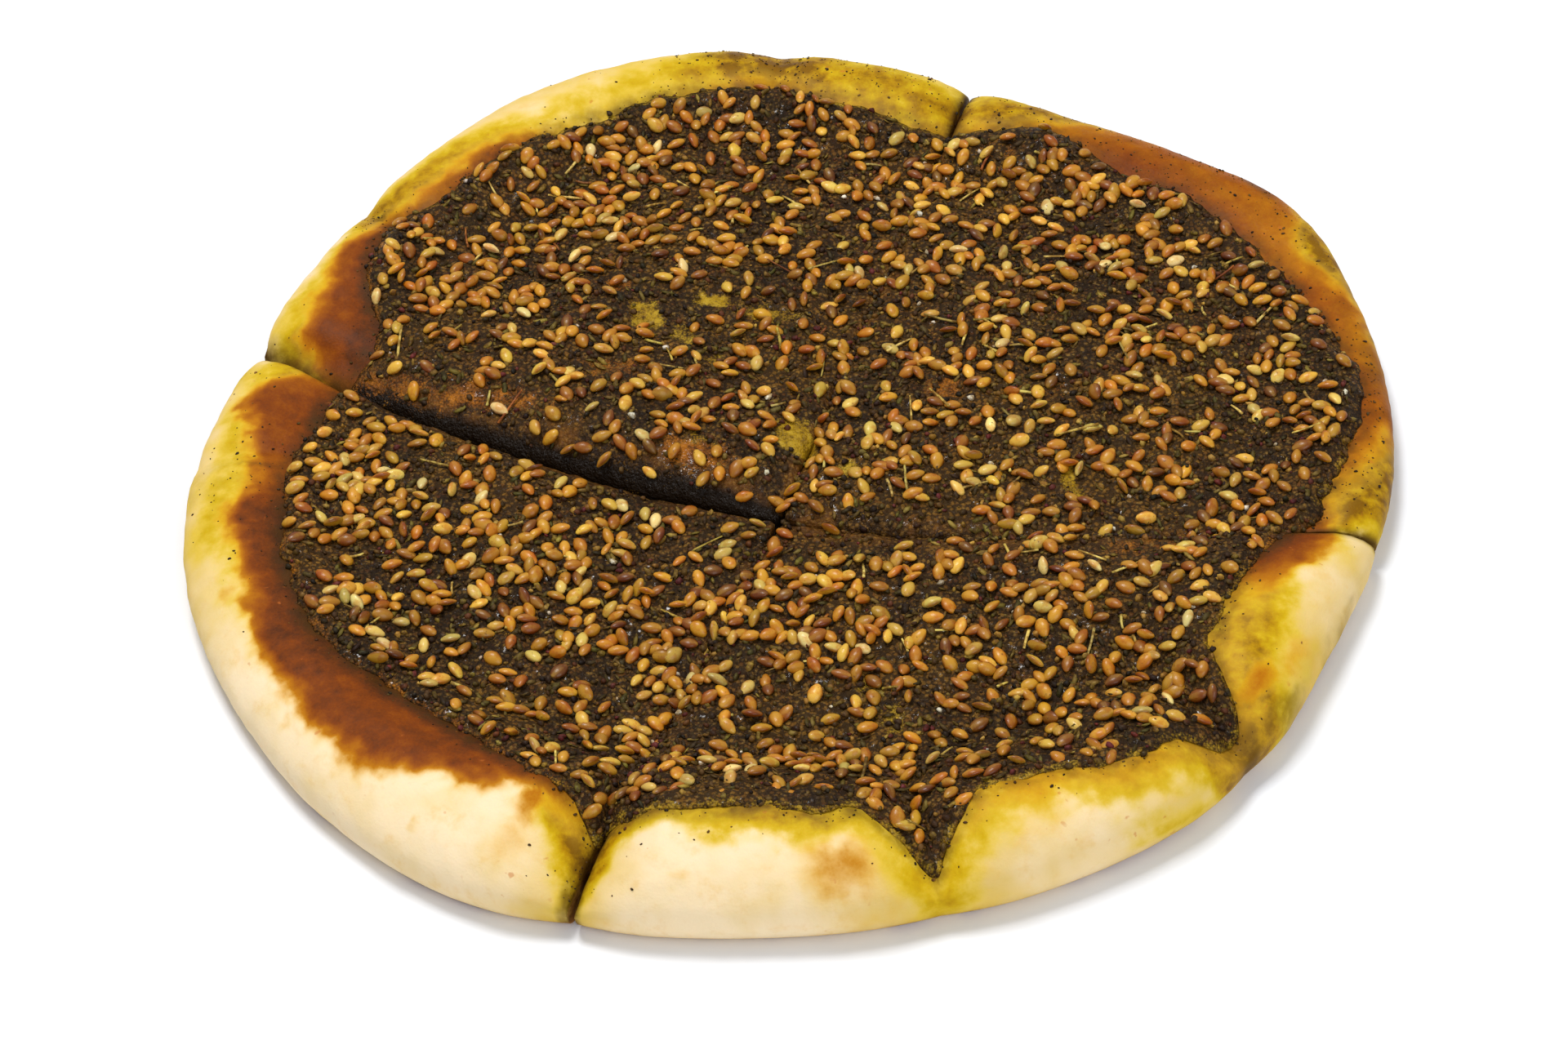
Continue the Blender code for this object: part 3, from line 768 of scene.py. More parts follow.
def bakedAt(points):
    # How toasted, oily, yellow and smeared the dough is at these places, with painted shade along the cuts in
    # the smear.
    x, y, z = points.T
    angle = np.degrees(np.arctan2(y, x))
    below = np.clip(bread["waist"] - z, 0, None)
    outwards = np.hypot(x, y) - pasteReach(angle) + 1.5 * below
    ragged = cloud(points, 7.0, 3, 3.1)  # edges in blotches of this size
    fine = cloud(points, 2.2, 2, 8.3)

    def by(column):
        return around(angle, column, baked)

    width = by(toastWidth) + 2.2 * ragged + 0.9 * fine
    toast = by(toastBy) * (1 - ease((outwards - width + 3.4) / 7.0))  # its soft edge is 7 mm wide
    toast *= 1 + 0.26 * ease(1 - outwards / 5)  # darkest next to the paste
    toast = np.maximum(toast, spotted(x + 2.0 * ragged, y + 1.5 * fine, blushes, 1.8))
    soak = by(oilWidth) + 4.0 * ragged
    oil = by(oilBy) * (1 - ease((outwards - 0.35 * soak) / np.maximum(0.9 * soak, 1.0)))
    yellow = by(yellowBy) + 0.3 * ragged
    # Dirt and painted shade: smears, a seam along the paste's edge, dark lines of painted shade along the cut
    # gaps and a film of dust.
    seam = np.clip(1.2 - np.abs(outwards - by(spreadBy)) / 2.8, 0, 1) * np.clip(0.7 + 0.8 * fine, 0, 1)
    aside, owner = cutDistance(x, y)
    # The painted shade of a cut's gap reaches 4.5 mm onto the back left slice.
    line = np.where((owner == 1) & (x < -40), 4.5, 1.8)  # wider where the edge is pressed low
    film = by(dustBy) * np.clip(0.6 + ragged + 1.2 * fine, 0, 1)
    dirtAndShade = (0.75 * seam, 0.95 * ease(1.2 - aside / line), 0.45 * film)
    smear = spotted(x + 1.0 * ragged, y + 1.0 * fine, smearsAndShadeLines, 1.2)
    for layer in dirtAndShade:
        smear = np.maximum(smear, layer)
    return tuple(np.clip(share, 0, 1) for share in (toast, oil, yellow, smear))


def makeBread(name, material):
    look = breadLook
    hidden = np.linspace(0, 1, look["hiddenRows"], endpoint=False)
    outer = 1 + np.linspace(0, 1, look["crustRows"]) ** 0.8
    outs = np.concatenate([hidden, outer])
    drops = np.radians(np.linspace(0, 90, look["underRows"] + 1)[1:])
    rows, columns = len(outs) + len(drops), look["columns"]
    net, grid = gridNet(columns, rows)
    cutLayer = net.verts.layers.float["cutFace"]
    for row in range(rows):
        drop = drops[row - len(outs)] if row >= len(outs) else 0
        out = outs[min(row, len(outs) - 1)]
        x, y, height = netRow(name, out, columns, pasteReach, look["inset"])
        reach = np.hypot(x, y)
        if drop:
            inward = bread["tuck"] * (1 - math.cos(drop)) / reach
            x, y = x * (1 - inward), y * (1 - inward)
            height = np.full_like(x, bread["waist"] * (1 - math.sin(drop)))
        for vertex, *co in zip(grid[row], x, y, height):
            vertex.co = Vector(co)
    # Low lumps of the crust, fading out towards the floor.
    points = np.array([vertex.co[:] for line in grid for vertex in line])
    lift = sum(high * cloud(points, size, 2, size) for size, high in look["lumps"])
    lift *= ease(points[:, 2] / look["lumpsAbove"])
    lift[:columns] = 0
    net.normal_update()
    for vertex, high in zip((v for line in grid for v in line), lift):
        vertex.co += vertex.normal * high
    for side in (0, -1):
        line = [row[side] for row in grid]
        tip, end = line[0].co.copy(), line[-1].co.copy()

        def sink(vertex, step):
            overhangs = (vertex.co - tip).xy.length >= (end - tip).xy.length
            foot = end if overhangs else Vector((vertex.co.x, vertex.co.y, 0))
            vertex.co = vertex.co.lerp(foot, 1 / (look["wallRows"] - step))
            vertex[cutLayer] = 1

        growWall(net, line, look["wallRows"], sink)
    bmesh.ops.remove_doubles(net, verts=net.verts[:], dist=weld)
    bmesh.ops.holes_fill(net, edges=[edge for edge in net.edges if edge.is_boundary], sides=0)
    piece = makeObject(f"bread{name}", net, material)
    points = positions(piece)
    for key, values in zip(("toast", "oil", "yellow", "smear"), bakedAt(points)):
        setAttribute(piece, key, values)
    setAttribute(piece, "under", ease((2.4 - points[:, 2]) / 2.2))  # baked from below up to 2.4 mm
    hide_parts(f"dough_{slices[name][0]}")
    return piece


# Paste: thyme, sumac and oil, with bare oily places

pasteLook = {
    "columns": 200,
    "rows": 132,
    "edgeRows": 10,  # the closest of them, from this share of the way out
    "edgeStart": 0.93,
    "skirtRows": 4,  # down the cuts
    "shell": 0.35,
    "thick": 1.5,
    "atCut": 1.2,
    "highest": 14.5,
    "sunk": 0.25,  # its underside below the dough's top
    "rim": 3.0,  # how far in from its edge it thins out
    "ragged": ((9.0, 1.0), (3.4, 0.9), (1.3, 0.45)),  # of its edge: size and distance
    "lumps": ((14.0, 0.40), (4.2, 0.42), (1.7, 0.34)),  # size and height
    "crust": 0.22,  # share of the lumps that stays where it is bare
    "lostBare": 0.55,  # how much thinner it is there
    "herbs": (
        (0.0, (48, 30, 10)), (0.25, (74, 48, 18)), (0.5, (100, 72, 28)),
        (0.68, (90, 48, 24)), (0.82, (118, 86, 32)), (1.0, (158, 116, 46)),
    ),
    "paste": ((54, 34, 11), (98, 62, 20)),
    "browner": (122, 84, 24),
    "blacker": (40, 26, 9),
    "paleBits": (138, 108, 54),
    # painted shade in the pits between the grains
    "pitShade": (24, 15, 6),
    "slick": ((44, 26, 10), (124, 76, 24)),
    "slickBits": (150, 104, 40),
    # painted shade at the bottom of a cut
    "cutFloorShade": (24, 14, 5),
    "oliveDough": ((0.25, (122, 90, 12)), (0.5, (160, 124, 20)), (0.75, (194, 160, 48))),
    "toastedDough": ((0.25, (86, 44, 12)), (0.5, (138, 78, 18)), (0.75, (180, 112, 28))),
}
# Bare oily places: x, y, half length, half width, turn, strength. The first are olive, the others toasted.
olivePlaces = (
    (1.2, -2.6, 3.6, 5.2, 10, 1.0),
    (-10.5, 33.4, 4.2, 2.0, -15, 0.95),
    (-1.5, 29.2, 4.8, 2.2, -8, 0.75),
    (-22.3, 30.0, 2.4, 5.0, 12, 0.85),
    (-16.5, 24.5, 3.6, 2.4, -40, 0.6),
    (-10.9, 18.1, 2.2, 1.8, 0, 0.7),
    (45.1, -16.6, 1.6, 5.0, 5, 0.85),
    (10.2, -11.4, 2.8, 2.2, 0, 0.6),
    (12.9, -66.1, 2.4, 3.6, 25, 0.5),
    (9.9, -58.6, 2.0, 3.0, 10, 0.45),
    (-14.5, -4.0, 3.6, 2.6, 0, 0.5),
)
toastedPlaces = (
    (-15.5, -6.6, 6.5, 3.0, -20, 0.9),
    (-27.5, 15.5, 6.0, 3.0, -10, 0.55),
    (-26.9, 38.8, 2.6, 2.0, 0, 0.65),
    (-50.0, 12.0, 13.0, 3.4, -20, 0.7),
    (-66.0, 19.5, 8.0, 2.6, -22, 0.7),
    (26.0, 7.2, 4.6, 2.6, 0, 0.7),
    (43.0, 4.1, 4.6, 2.4, 10, 0.5),
    (55.4, -34.9, 9.0, 2.4, 8, 0.5),
    (40.0, 68.0, 5.0, 2.0, -30, 0.4),
    (33.0, 32.0, 4.0, 2.4, 60, 0.35),
    (-6.0, 52.0, 3.0, 2.0, 0, 0.4),
    (-70.0, 27.0, 5.0, 3.0, 60, 0.35),
)


def raggedReach(angle):
    turn = np.radians(angle)
    ring = np.stack([90 * np.cos(turn), 90 * np.sin(turn), np.zeros_like(turn)], axis=1)
    shift = sum(far * cloud(ring, size, 1, 5.0 + size) for size, far in pasteLook["ragged"])
    wanted = pasteReach(angle) + around(angle, spreadBy, baked) + shift
    return np.minimum(wanted, rimReach(angle) - bread["tuck"])


pasteEdge = tabled(raggedReach)


def pasteColours():
    look = pasteLook
    material, tree, shader = newMaterial("thymePaste", 0.5, shine=0.1)
    where = place(tree)
    olive, toasted, oily = (attribute(tree, name) for name in ("olive", "toasted", "oily"))
    grain = useGrain(tree, 0.8, 7.0)
    small = useGrain(tree, 0.4, 2.6, 0.3)
    blotched = stretch(tree, grain["Blotches"], 0.42, 0.62)
    # Herbs in dark paste, browner and blacker in wide places
    dark = mixColour(tree, blotched, *look["paste"])
    colour = mixColour(tree, 0.55, ramp(tree, grain["Cell"], look["herbs"]), dark)
    wide = noiseAt(tree, where, 20.0, 3.0, 0.5)
    colour = mixColour(tree, stretch(tree, wide, 0.48, 0.66, 0.0, 0.45), colour, look["browner"])
    colour = mixColour(tree, stretch(tree, wide, 0.50, 0.34, 0.0, 0.5), colour, look["blacker"])
    colour = mixColour(tree, stretch(tree, small["Cell"], 0.80, 0.98, 0.0, 0.5), colour, look["paleBits"])
    # Painted shade in the pits between the grains, where the bump is low.
    pitShade = less(tree, 0.8, stretch(tree, grain["Grain"], 0.50, 0.74), clamp=True)
    colour = mixColour(tree, pitShade, colour, look["pitShade"])
    # Oily slopes, turned black at the bottom of the cut by painted shade of its gap
    slick = mixColour(tree, blotched, *look["slick"])
    slick = mixColour(tree, stretch(tree, small["Cell"], 0.72, 0.95, 0.0, 0.6), slick, look["slickBits"])
    colour = mixColour(tree, times(tree, oily, 0.8), colour, slick)
    colour = mixColour(tree, stretch(tree, oily, 0.62, 0.92), colour, look["cutFloorShade"])
    # Bare places, ragged at their edges
    ragged = times(tree, less(tree, small["Blotches"], 0.5), 1.5)
    uneven = plus(tree, ragged, times(tree, less(tree, small["Grain"], 0.6), 1.1))
    bare = oily
    for share, dough in ((olive, "oliveDough"), (toasted, "toastedDough")):
        share = stretch(tree, plus(tree, share, uneven), 0.25, 1.05)
        colour = mixColour(tree, share, colour, ramp(tree, small["Blotches"], look[dough]))
        bare = most(tree, bare, share)
    finishShader(tree, shader, colour, most(tree, times(tree, bare, 0.7), grain["Glints"]), 0.54, 0.20)
    drops = times(tree, bare, stretch(tree, small["Glints"], 0.2, 0.7))
    drops = most(tree, times(tree, grain["Glints"], 0.8), drops)
    tree.links.new(stretch(tree, drops, 0.2, 0.9, 0.0, 0.95), shader.inputs["Coat Weight"])
    bump(tree, shader, plus(tree, grain["Grain"], times(tree, small["Grain"], 0.6)), 0.8, 0.5)
    return material


def spotOf(vertex):
    return tuple(round(value, 5) for value in vertex.co.xy)


def makePaste(name, material):
    look = pasteLook
    _, first, last = slices[name]
    rows, columns = look["rows"], look["columns"]
    fine, start = look["edgeRows"], look["edgeStart"]
    outs = np.linspace(0, start, rows - fine, endpoint=False)
    outs = np.concatenate([outs, np.linspace(start, 1, fine)])
    net, grid = gridNet(columns, rows)
    for row in range(rows):
        x, y, height = netRow(name, outs[row], columns, pasteEdge)
        for vertex, *co in zip(grid[row], x, y, height):
            vertex.co = Vector(co)
    flat = [vertex for line in grid for vertex in line]
    net.verts.index_update()
    points = np.array([vertex.co[:] for vertex in flat])
    x, y = points[:, 0], points[:, 1]
    angle = np.degrees(np.arctan2(y, x))
    fromEdge = pasteEdge(angle) - np.hypot(x, y)
    columnAt = np.tile(np.arange(columns), rows)
    fromCut = np.minimum(columnAt, columns - 1 - columnAt)
    olive, toasted = spotted(x, y, olivePlaces), spotted(x, y, toastedPlaces)
    bare = np.maximum(olive, toasted)
    lumps = sum(high * cloud(points, size, 2, 20 + size) for size, high in look["lumps"])
    lumps *= 1 - (1 - look["crust"]) * bare
    thick = look["atCut"] + (look["thick"] - look["atCut"]) * ease(fromCut / 4)  # over four columns
    thick *= 1 - 0.7 * ease((points[:, 2] - 9) / 4)  # thin where it climbs the mounds
    thick = (thick - look["lostBare"] * bare + lumps) * ease(fromEdge / look["rim"] + 0.04)
    thick -= look["sunk"] * ease(1 - fromEdge / 0.6)
    thick[:columns] = look["atCut"]
    height = points[:, 2] + thick
    height = np.minimum(height, look["highest"] - 1 + np.tanh(height - look["highest"] + 1))  # soft limit
    for vertex, high in zip(flat, height):
        vertex.co.z = high
    # The paste runs down the cuts a little way, then the underside closes it.
    for side, (_, _, _, run) in ((0, first), (-1, last)):
        line = [row[side] for row in grid]
        along = np.array([vertex.co[:] for vertex in line])
        deep = run * (1 + 0.7 * cloud(along, 3.0, 2, 31.0)) * ease((1.02 - outs) / 0.06)
        deep = np.clip(deep, 0.05, along[:, 2] - 0.4)
        deep[0] = look["atCut"]
        depthAt = {spotOf(vertex): far for vertex, far in zip(line, deep)}

        def droop(vertex, step):
            vertex.co.z -= depthAt[spotOf(vertex)] / look["skirtRows"]

        growWall(net, line, look["skirtRows"], droop)
    bmesh.ops.remove_doubles(net, verts=net.verts[:], dist=weld)
    net.normal_update()
    normals = {tuple(vertex.co): vertex.normal.copy() for vertex in net.verts}
    for vertex in newVertices(bmesh.ops.extrude_face_region(net, geom=net.faces[:])):
        vertex.co -= normals[tuple(vertex.co)] * look["shell"]
    piece = makeObject(f"paste{name}", net, material, 0)
    points = positions(piece)
    x, y, _ = points.T
    shift, fine = cloud(points, 5.0, 2, 40.0), cloud(points, 1.8, 2, 44.0)
    # Its thin edge lets the oily or the toasted crust show through.
    angle = np.degrees(np.arctan2(y, x))
    thin = 0.7 * ease(1 - (pasteEdge(angle) - np.hypot(x, y)) / 2.6)
    ring = np.clip(around(angle, toastBy, baked), 0, 1)
    olive = spotted(x + 1.6 * shift, y + 1.2 * fine, olivePlaces, 0.9)
    toasted = spotted(x + 1.6 * shift, y + 1.2 * fine, toastedPlaces, 1.2)
    setAttribute(piece, "olive", np.maximum(olive, thin * (1 - ring)))
    setAttribute(piece, "toasted", np.maximum(toasted, thin * ring))
    setAttribute(piece, "oily", nearCut(x, y, name))
    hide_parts(f"topping_{slices[name][0]}")
    return piece


def nearCut(x, y, name):
    # How close to the oily slopes beside the cuts, from 0 to 1, which also sets the painted shade at the
    # bottom of a cut.
    direction, far = aboutCrossing(x, y)
    total = np.zeros_like(x)
    for cut, width, *_ in slices[name][1:]:
        aside = np.abs((direction - cutLine(cut, far) + math.pi) % (2 * math.pi) - math.pi) * far
        strength = 1.0 if width > 8 else 0.55  # full only at the widest pressed edge
        total = np.maximum(total, strength * ease(1 - aside / (width * 0.95)))
    return total


# Things strewn over the paste and the crust

def flakeShape(rng, sides, length, width, thick, bend, point):
    # A rough lying grain or leaf, made from a squashed sphere.
    shape = bmesh.new()
    bmesh.ops.create_icosphere(shape, subdivisions=1, radius=0.5)
    for vertex in shape.verts:
        wild = 1 + rng.uniform(-sides, sides)
        vertex.co = vertex.co * wild
        vertex.co.y *= 1 - point * max(vertex.co.x, 0)
        x, y, z = vertex.co
        vertex.co = Vector((x * length, y * width, z * thick + bend * x**2))
    return meshArrays(shape)


def meshArrays(shape, layer=None):
    shape.verts.index_update()
    co = np.array([vertex.co[:] for vertex in shape.verts])
    faces = [[vertex.index for vertex in face.verts] for face in shape.faces]
    extra = np.array([vertex[layer] for vertex in shape.verts]) if layer else np.zeros(len(co))
    shape.free()
    return co, faces, extra


def seedShape(rng):
    # A sesame seed 1 long, round at one end and pointed at the other, its margin marked for painted shade at
    # the rim and painted light in the middle.
    shape = bmesh.new()
    lying = Matrix.Rotation(math.radians(90), 4, "Y")
    bmesh.ops.create_uvsphere(shape, u_segments=10, v_segments=6, radius=0.5, matrix=lying)
    margin = shape.verts.layers.float.new("margin")
    belly, tip = rng.uniform(0.85, 1.1), rng.uniform(0.55, 0.95)
    for vertex in shape.verts:
        x, y, z = vertex.co
        vertex[margin] = abs(y) * 2 + max(x, 0) * 0.5
        narrow = 1 - tip * max(x, 0) ** 1.3 - 0.12 * max(-x, 0)  # towards the tip and the round end
        wide = 0.69 * belly * narrow
        thick = 0.39 * belly * narrow * (1 - 0.25 * (2 * abs(y)) ** 3)
        vertex.co = Vector((x, y * wide, z * thick + 0.02 * math.cos(3 * x)))
    return meshArrays(shape, margin)


def stemShape(rng):
    # A bit of straw 1 long, bent a little.
    shape = bmesh.new()
    lying = Matrix.Rotation(math.radians(90), 4, "Y")
    sizes = {"segments": 6, "radius1": 0.5, "radius2": 0.36, "depth": 1.0}
    bmesh.ops.create_cone(shape, cap_ends=True, matrix=lying, **sizes)
    along = [edge for edge in shape.edges if abs(edge.verts[0].co.x - edge.verts[1].co.x) > 0.5]
    bmesh.ops.subdivide_edges(shape, edges=along, cuts=3)
    bend = rng.uniform(-0.16, 0.16)
    for vertex in shape.verts:
        wobble = 0.1 * math.sin(9 * vertex.co.x + bend * 40)
        vertex.co.y = vertex.co.y * 0.12 + bend * (vertex.co.x**2 - 0.2)
        vertex.co.z = vertex.co.z * 0.09 * (1 + wobble)
    return meshArrays(shape)


def joinMany(name, shapes, things, material):
    # One mesh of many small shapes. Each thing is (shape index, matrix, colour).
    allPoints, allFaces, allColours, allExtra, start = [], [], [], [], 0
    for index, matrix, colour in things:
        co, faces, extra = shapes[index]
        turned = co @ np.array(matrix.to_3x3()).T + np.array(matrix.translation)
        allPoints.append(turned)
        allFaces += [[start + corner for corner in face] for face in faces]
        allColours.append(np.tile((*colour, 1.0), (len(co), 1)))
        allExtra.append(extra)
        start += len(co)
    mesh = bpy.data.meshes.new(name)
    mesh.from_pydata(np.concatenate(allPoints).tolist(), [], allFaces)
    mesh.shade_smooth()
    colours = mesh.attributes.new("tone", "FLOAT_COLOR", "POINT")
    colours.data.foreach_set("color", np.concatenate(allColours).astype(np.float32).ravel())
    margin = mesh.attributes.new("margin", "FLOAT", "POINT")
    margin.data.foreach_set("value", np.concatenate(allExtra).astype(np.float32))
    mesh.materials.append(material)
    piece = addObject(name, mesh)
    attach(piece, "root")
    print(name, len(things), "pieces", len(allFaces), "faces")
    return piece


def pick(rng, palette):
    # A colour from (share, red, green, blue) rows, varied a little.
    at = rng.uniform(0, sum(row[0] for row in palette))
    for share, *colour in palette:
        at -= share
        if at <= 0:
            break
    light = rng.uniform(0.86, 1.12)
    return paint(*(min(255, max(0, value * light + rng.uniform(-5, 5))) for value in colour))


class Surface:
    # The bread and paste as one surface to drop things on.
    def __init__(self, pieces):
        points, faces = [], []
        for piece in pieces:
            start = len(points)
            points += [vertex.co.copy() for vertex in piece.data.vertices]
            faces += [[start + corner for corner in face.vertices] for face in piece.data.polygons]
        self.tree = BVHTree.FromPolygons(points, faces)

    def under(self, x, y):
        # x and y about the middle of the bread; the place and the slope there
        above = Vector(((x - middle[0]) * mm, (y - middle[1]) * mm, 0.05))
        for aside in ((0, 0), (0.8, 0), (-0.8, 0), (0, 0.8), (0, -0.8)):
            start = above + Vector((*aside, 0)) * mm
            point, normal, _, _ = self.tree.ray_cast(start, Vector((0, 0, -1)))
            if point is not None and point.z > 3 * mm:
                return Vector((*above.xy, point.z)), normal if normal.z > 0 else -normal
        return None, None


seedsClear = {"right": 0.3, "top": -0.6, "left": 2.0, "bottom": -0.5}  # bare strip beside each cut


def cutDistance(x, y, bare=0.0):
    # How far each place is from the nearest cut, or from this share of its bare strip,
    # and the number of its slice.
    direction, far = aboutCrossing(x, y)
    nearest, owner = np.full_like(x, 0.0), np.full(x.shape, -1)
    for number, (_, (first, *_), (last, *_)) in enumerate(slices.values()):
        low = cutLine(first, far)
        turn = (direction - low) % (2 * math.pi)
        span = (cutLine(last, far) - low) % (2 * math.pi)
        inside = turn < span
        fromLow = turn * far - bare * seedsClear[first]
        fromHigh = (span - turn) * far - bare * seedsClear[last]
        nearest[inside] = np.minimum(fromLow, fromHigh)[inside]
        owner[inside] = number
    return nearest, owner


def strewn(seed, count):
    # Places evenly at random over the bread: x, y, how far in from the paste's edge and from a cut,
    # and a chance from 0 to 1.
    draw = np.random.default_rng(seed)
    turn, reach = draw.uniform(-180, 180, count), 104 * np.sqrt(draw.random(count))  # past the rim
    x, y = reach * np.cos(np.radians(turn)), reach * np.sin(np.radians(turn))
    return x, y, pasteEdge(turn) - reach, cutDistance(x, y, 1.0)[0], draw.random(count)


def lie(point, normal, turn, size, tilt, lift):
    # Matrix that lays a shape on the slope, turned, tilted and lifted.
    lying = normal.to_track_quat("Z", "Y").to_matrix().to_4x4()
    spin = Matrix.Rotation(turn, 4, "Z") @ Matrix.Rotation(tilt[0], 4, "X") @ Matrix.Rotation(tilt[1], 4, "Y")
    scale = Matrix.Diagonal((*(s * mm for s in size), 1))
    turned = lying @ spin @ scale
    rise = sum((0.5 * turned[2][axis]) ** 2 for axis in range(3)) ** 0.5
    where = point + normal * lift * mm
    where.z = min(where.z, lookTop * mm - rise)
    return Matrix.Translation(where) @ turned


seedLook = {
    "count": 1780,  # besides the largest ones
    "length": (2.9, 3.6),
    "tried": 60000,  # places
    "densest": 3.4,  # density at which every place is used
    "apart": 1.2,
    "apartMore": 0.7,  # at most
    "cell": 4,  # of the grid that finds neighbours
    "sunk": (0.12, 0.34),  # into the paste
    "tipped": 0.14,  # share that stands on its edge
    "shapes": 6,
    "largest": {"spacing": 10.8, "scatter": 2.8, "fromCut": 3.6, "fromEdge": 3.0, "fromTip": 11.0},
    "largestLength": (3.3, 3.6),
    # darker at each seed's rim, for paste stuck there and for painted shade, and paler in its middle as
    # painted light
    "margin": (166, 106, 50),
    "belly": (226, 180, 76),
    "blotches": (226, 172, 100),
    "burnt": (86, 48, 22),
    "palette": (
        (0.34, 182, 128, 29),
        (0.27, 168, 108, 19),
        (0.14, 200, 156, 56),
        (0.11, 148, 86, 14),
        (0.07, 114, 64, 12),
        (0.05, 200, 170, 82),
        (0.02, 222, 196, 122),
    ),
}
# Where seeds lie thicker or thinner: x, y, half length, half width, turn, share of the usual.
seedCrowds = (
    (-75, 4, 9, 6, 80, 2.8),
    (-62, -15, 13, 8, -35, 3.8),
    (-42, -31, 14, 8, -35, 3.8),
    (-23, -42, 12, 8, -25, 3.6),
    (0, -42, 13, 10, 0, 3.2),
    (26, -46, 16, 7, -10, 1.7),
    (0, -77, 22, 4, 0, 1.6),
    (50, -72, 16, 4, 30, 1.6),
    (40, -58, 12, 6, -20, 1.3),
    (-54, 45, 14, 10, 50, 1.7),
    (-32, 66, 16, 9, 25, 1.8),
    (10, 76, 22, 8, -10, 1.6),
    (36, 62, 12, 6, -20, 2.0),
    (62, 51, 14, 6, -40, 1.9),
    (18, -9, 16, 7, -20, 1.7),
    (-17, 12, 12, 6, -25, 1.5),
    (26, 50, 6, 16, -22, 1.4),
    (82, 0, 5, 20, 0, 1.3),
    (70, -34, 12, 6, 10, 1.4),
)
seedGaps = (
    (-16, 34, 16, 9, -10, 0.75),
    (-56, 12, 18, 6, -20, 0.85),
    (-28, 16, 10, 6, 0, 0.6),
    (30, 28, 12, 8, 30, 0.5),
    (60, -12, 14, 6, 0, 0.45),
    (46, -36, 12, 6, 10, 0.6),
    (18, -64, 12, 6, 0, 0.35),
    (-8, -64, 8, 6, 0, 0.4),
    (-54, -45, 9, 7, -30, 0.35),
    (-36, -56, 10, 5, -30, 0.35),
    (-19, -30, 9, 6, 0, 0.4),
    (28, 7, 6, 4, 0, 0.8),
)


def seedDensity(x, y):
    crowd = np.ones_like(x)
    for *spot, share in seedCrowds:
        crowd = np.maximum(crowd, 1 + (share - 1) * spotted(x, y, [(*spot, 1.0)]))
    thin = 1 - spotted(x, y, seedGaps)
    bare = bareness(x, y)
    patchy = cloud(np.stack([x, y, np.zeros_like(x)], axis=1), 8.0, 2, 4.2)
    return crowd * thin * (1 - 0.85 * bare) * np.maximum(0.12, 1 + 2.0 * patchy)


def largestSeeds():
    # Spread evenly over each slice, by the rule that the solids follow.
    rule = seedLook["largest"]
    rng = random.Random(7)
    spots = []
    rowStep = rule["spacing"] * math.sqrt(3) / 2
    for number, (node, _, _) in enumerate(slices.values()):
        low, high = (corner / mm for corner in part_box(f"topping_{node}"))
        for row in range(math.ceil((high.y - low.y) / rowStep)):
            for column in range(math.ceil((high.x - low.x) / rule["spacing"])):
                along = (column + 0.5 * (row % 2)) * rule["spacing"]
                x = low.x + along + rng.uniform(-1, 1) * rule["scatter"]
                y = low.y + row * rowStep + rng.uniform(-1, 1) * rule["scatter"]
                spots.append((x + middle[0], y + middle[1], rng.uniform(0, 2 * math.pi), number))
    x, y, _, number = np.array(spots).T
    aside, owner = cutDistance(x, y)
    edge = pasteReach(np.degrees(np.arctan2(y, x)))
    _, tip = aboutCrossing(x, y)
    fits = (owner == number) & (aside > rule["fromCut"]) & (tip > rule["fromTip"])
    fits &= np.hypot(x, y) < edge - rule["fromEdge"]
    return [spot[:3] for spot, fit in zip(spots, fits) if fit]


def strewSeeds(surface, material):
    look = seedLook
    rng = random.Random(21)
    shapes = [seedShape(rng) for _ in range(look["shapes"])]
    things, taken = [], {}

    def cellOf(x, y):
        return int(x // look["cell"]), int(y // look["cell"])

    def crowded(x, y, apart):
        column, row = cellOf(x, y)
        near = (taken.get((column + i, row + j), ()) for i in (-1, 0, 1) for j in (-1, 0, 1))
        return any(math.hypot(x - u, y - v) < apart for group in near for u, v in group)

    def addSeed(x, y, turn, length, tilt):
        point, normal = surface.under(x, y)
        if point is None:
            return
        taken.setdefault(cellOf(x, y), []).append((x, y))
        size = (length, length * rng.uniform(0.92, 1.08), length * rng.uniform(0.95, 1.15))
        lift = size[2] * 0.18 - rng.uniform(*look["sunk"]) + abs(tilt[0]) * 0.5
        matrix = lie(point, normal, turn, size, tilt, lift)
        things.append((rng.randrange(len(shapes)), matrix, pick(rng, look["palette"])))

    for x, y, turn in largestSeeds():
        addSeed(x, y, turn, rng.uniform(*look["largestLength"]), (rng.gauss(0, 0.12), rng.gauss(0, 0.1)))
    x, y, inwards, aside, chance = strewn(21, look["tried"])
    wanted = (inwards > 0.8 + 2.0 * chance) & (aside > 0.3)
    x, y, chance = x[wanted], y[wanted], chance[wanted]
    wanted = (chance * 7.31) % 1 < seedDensity(x, y) / look["densest"]
    placed = 0
    for x, y in zip(x[wanted], y[wanted]):
        if placed >= look["count"] or crowded(x, y, look["apart"] + rng.random() * look["apartMore"]):
            continue
        tipped = rng.random() < look["tipped"]
        roll = rng.uniform(0.5, 1.1) * rng.choice((-1, 1)) if tipped else rng.gauss(0, 0.2)
        tilt = (roll, rng.gauss(0, 0.16))
        addSeed(x, y, rng.uniform(0, 2 * math.pi), rng.uniform(*look["length"]), tilt)
        placed += 1
    return joinMany("sesameSeeds", shapes, things, material)


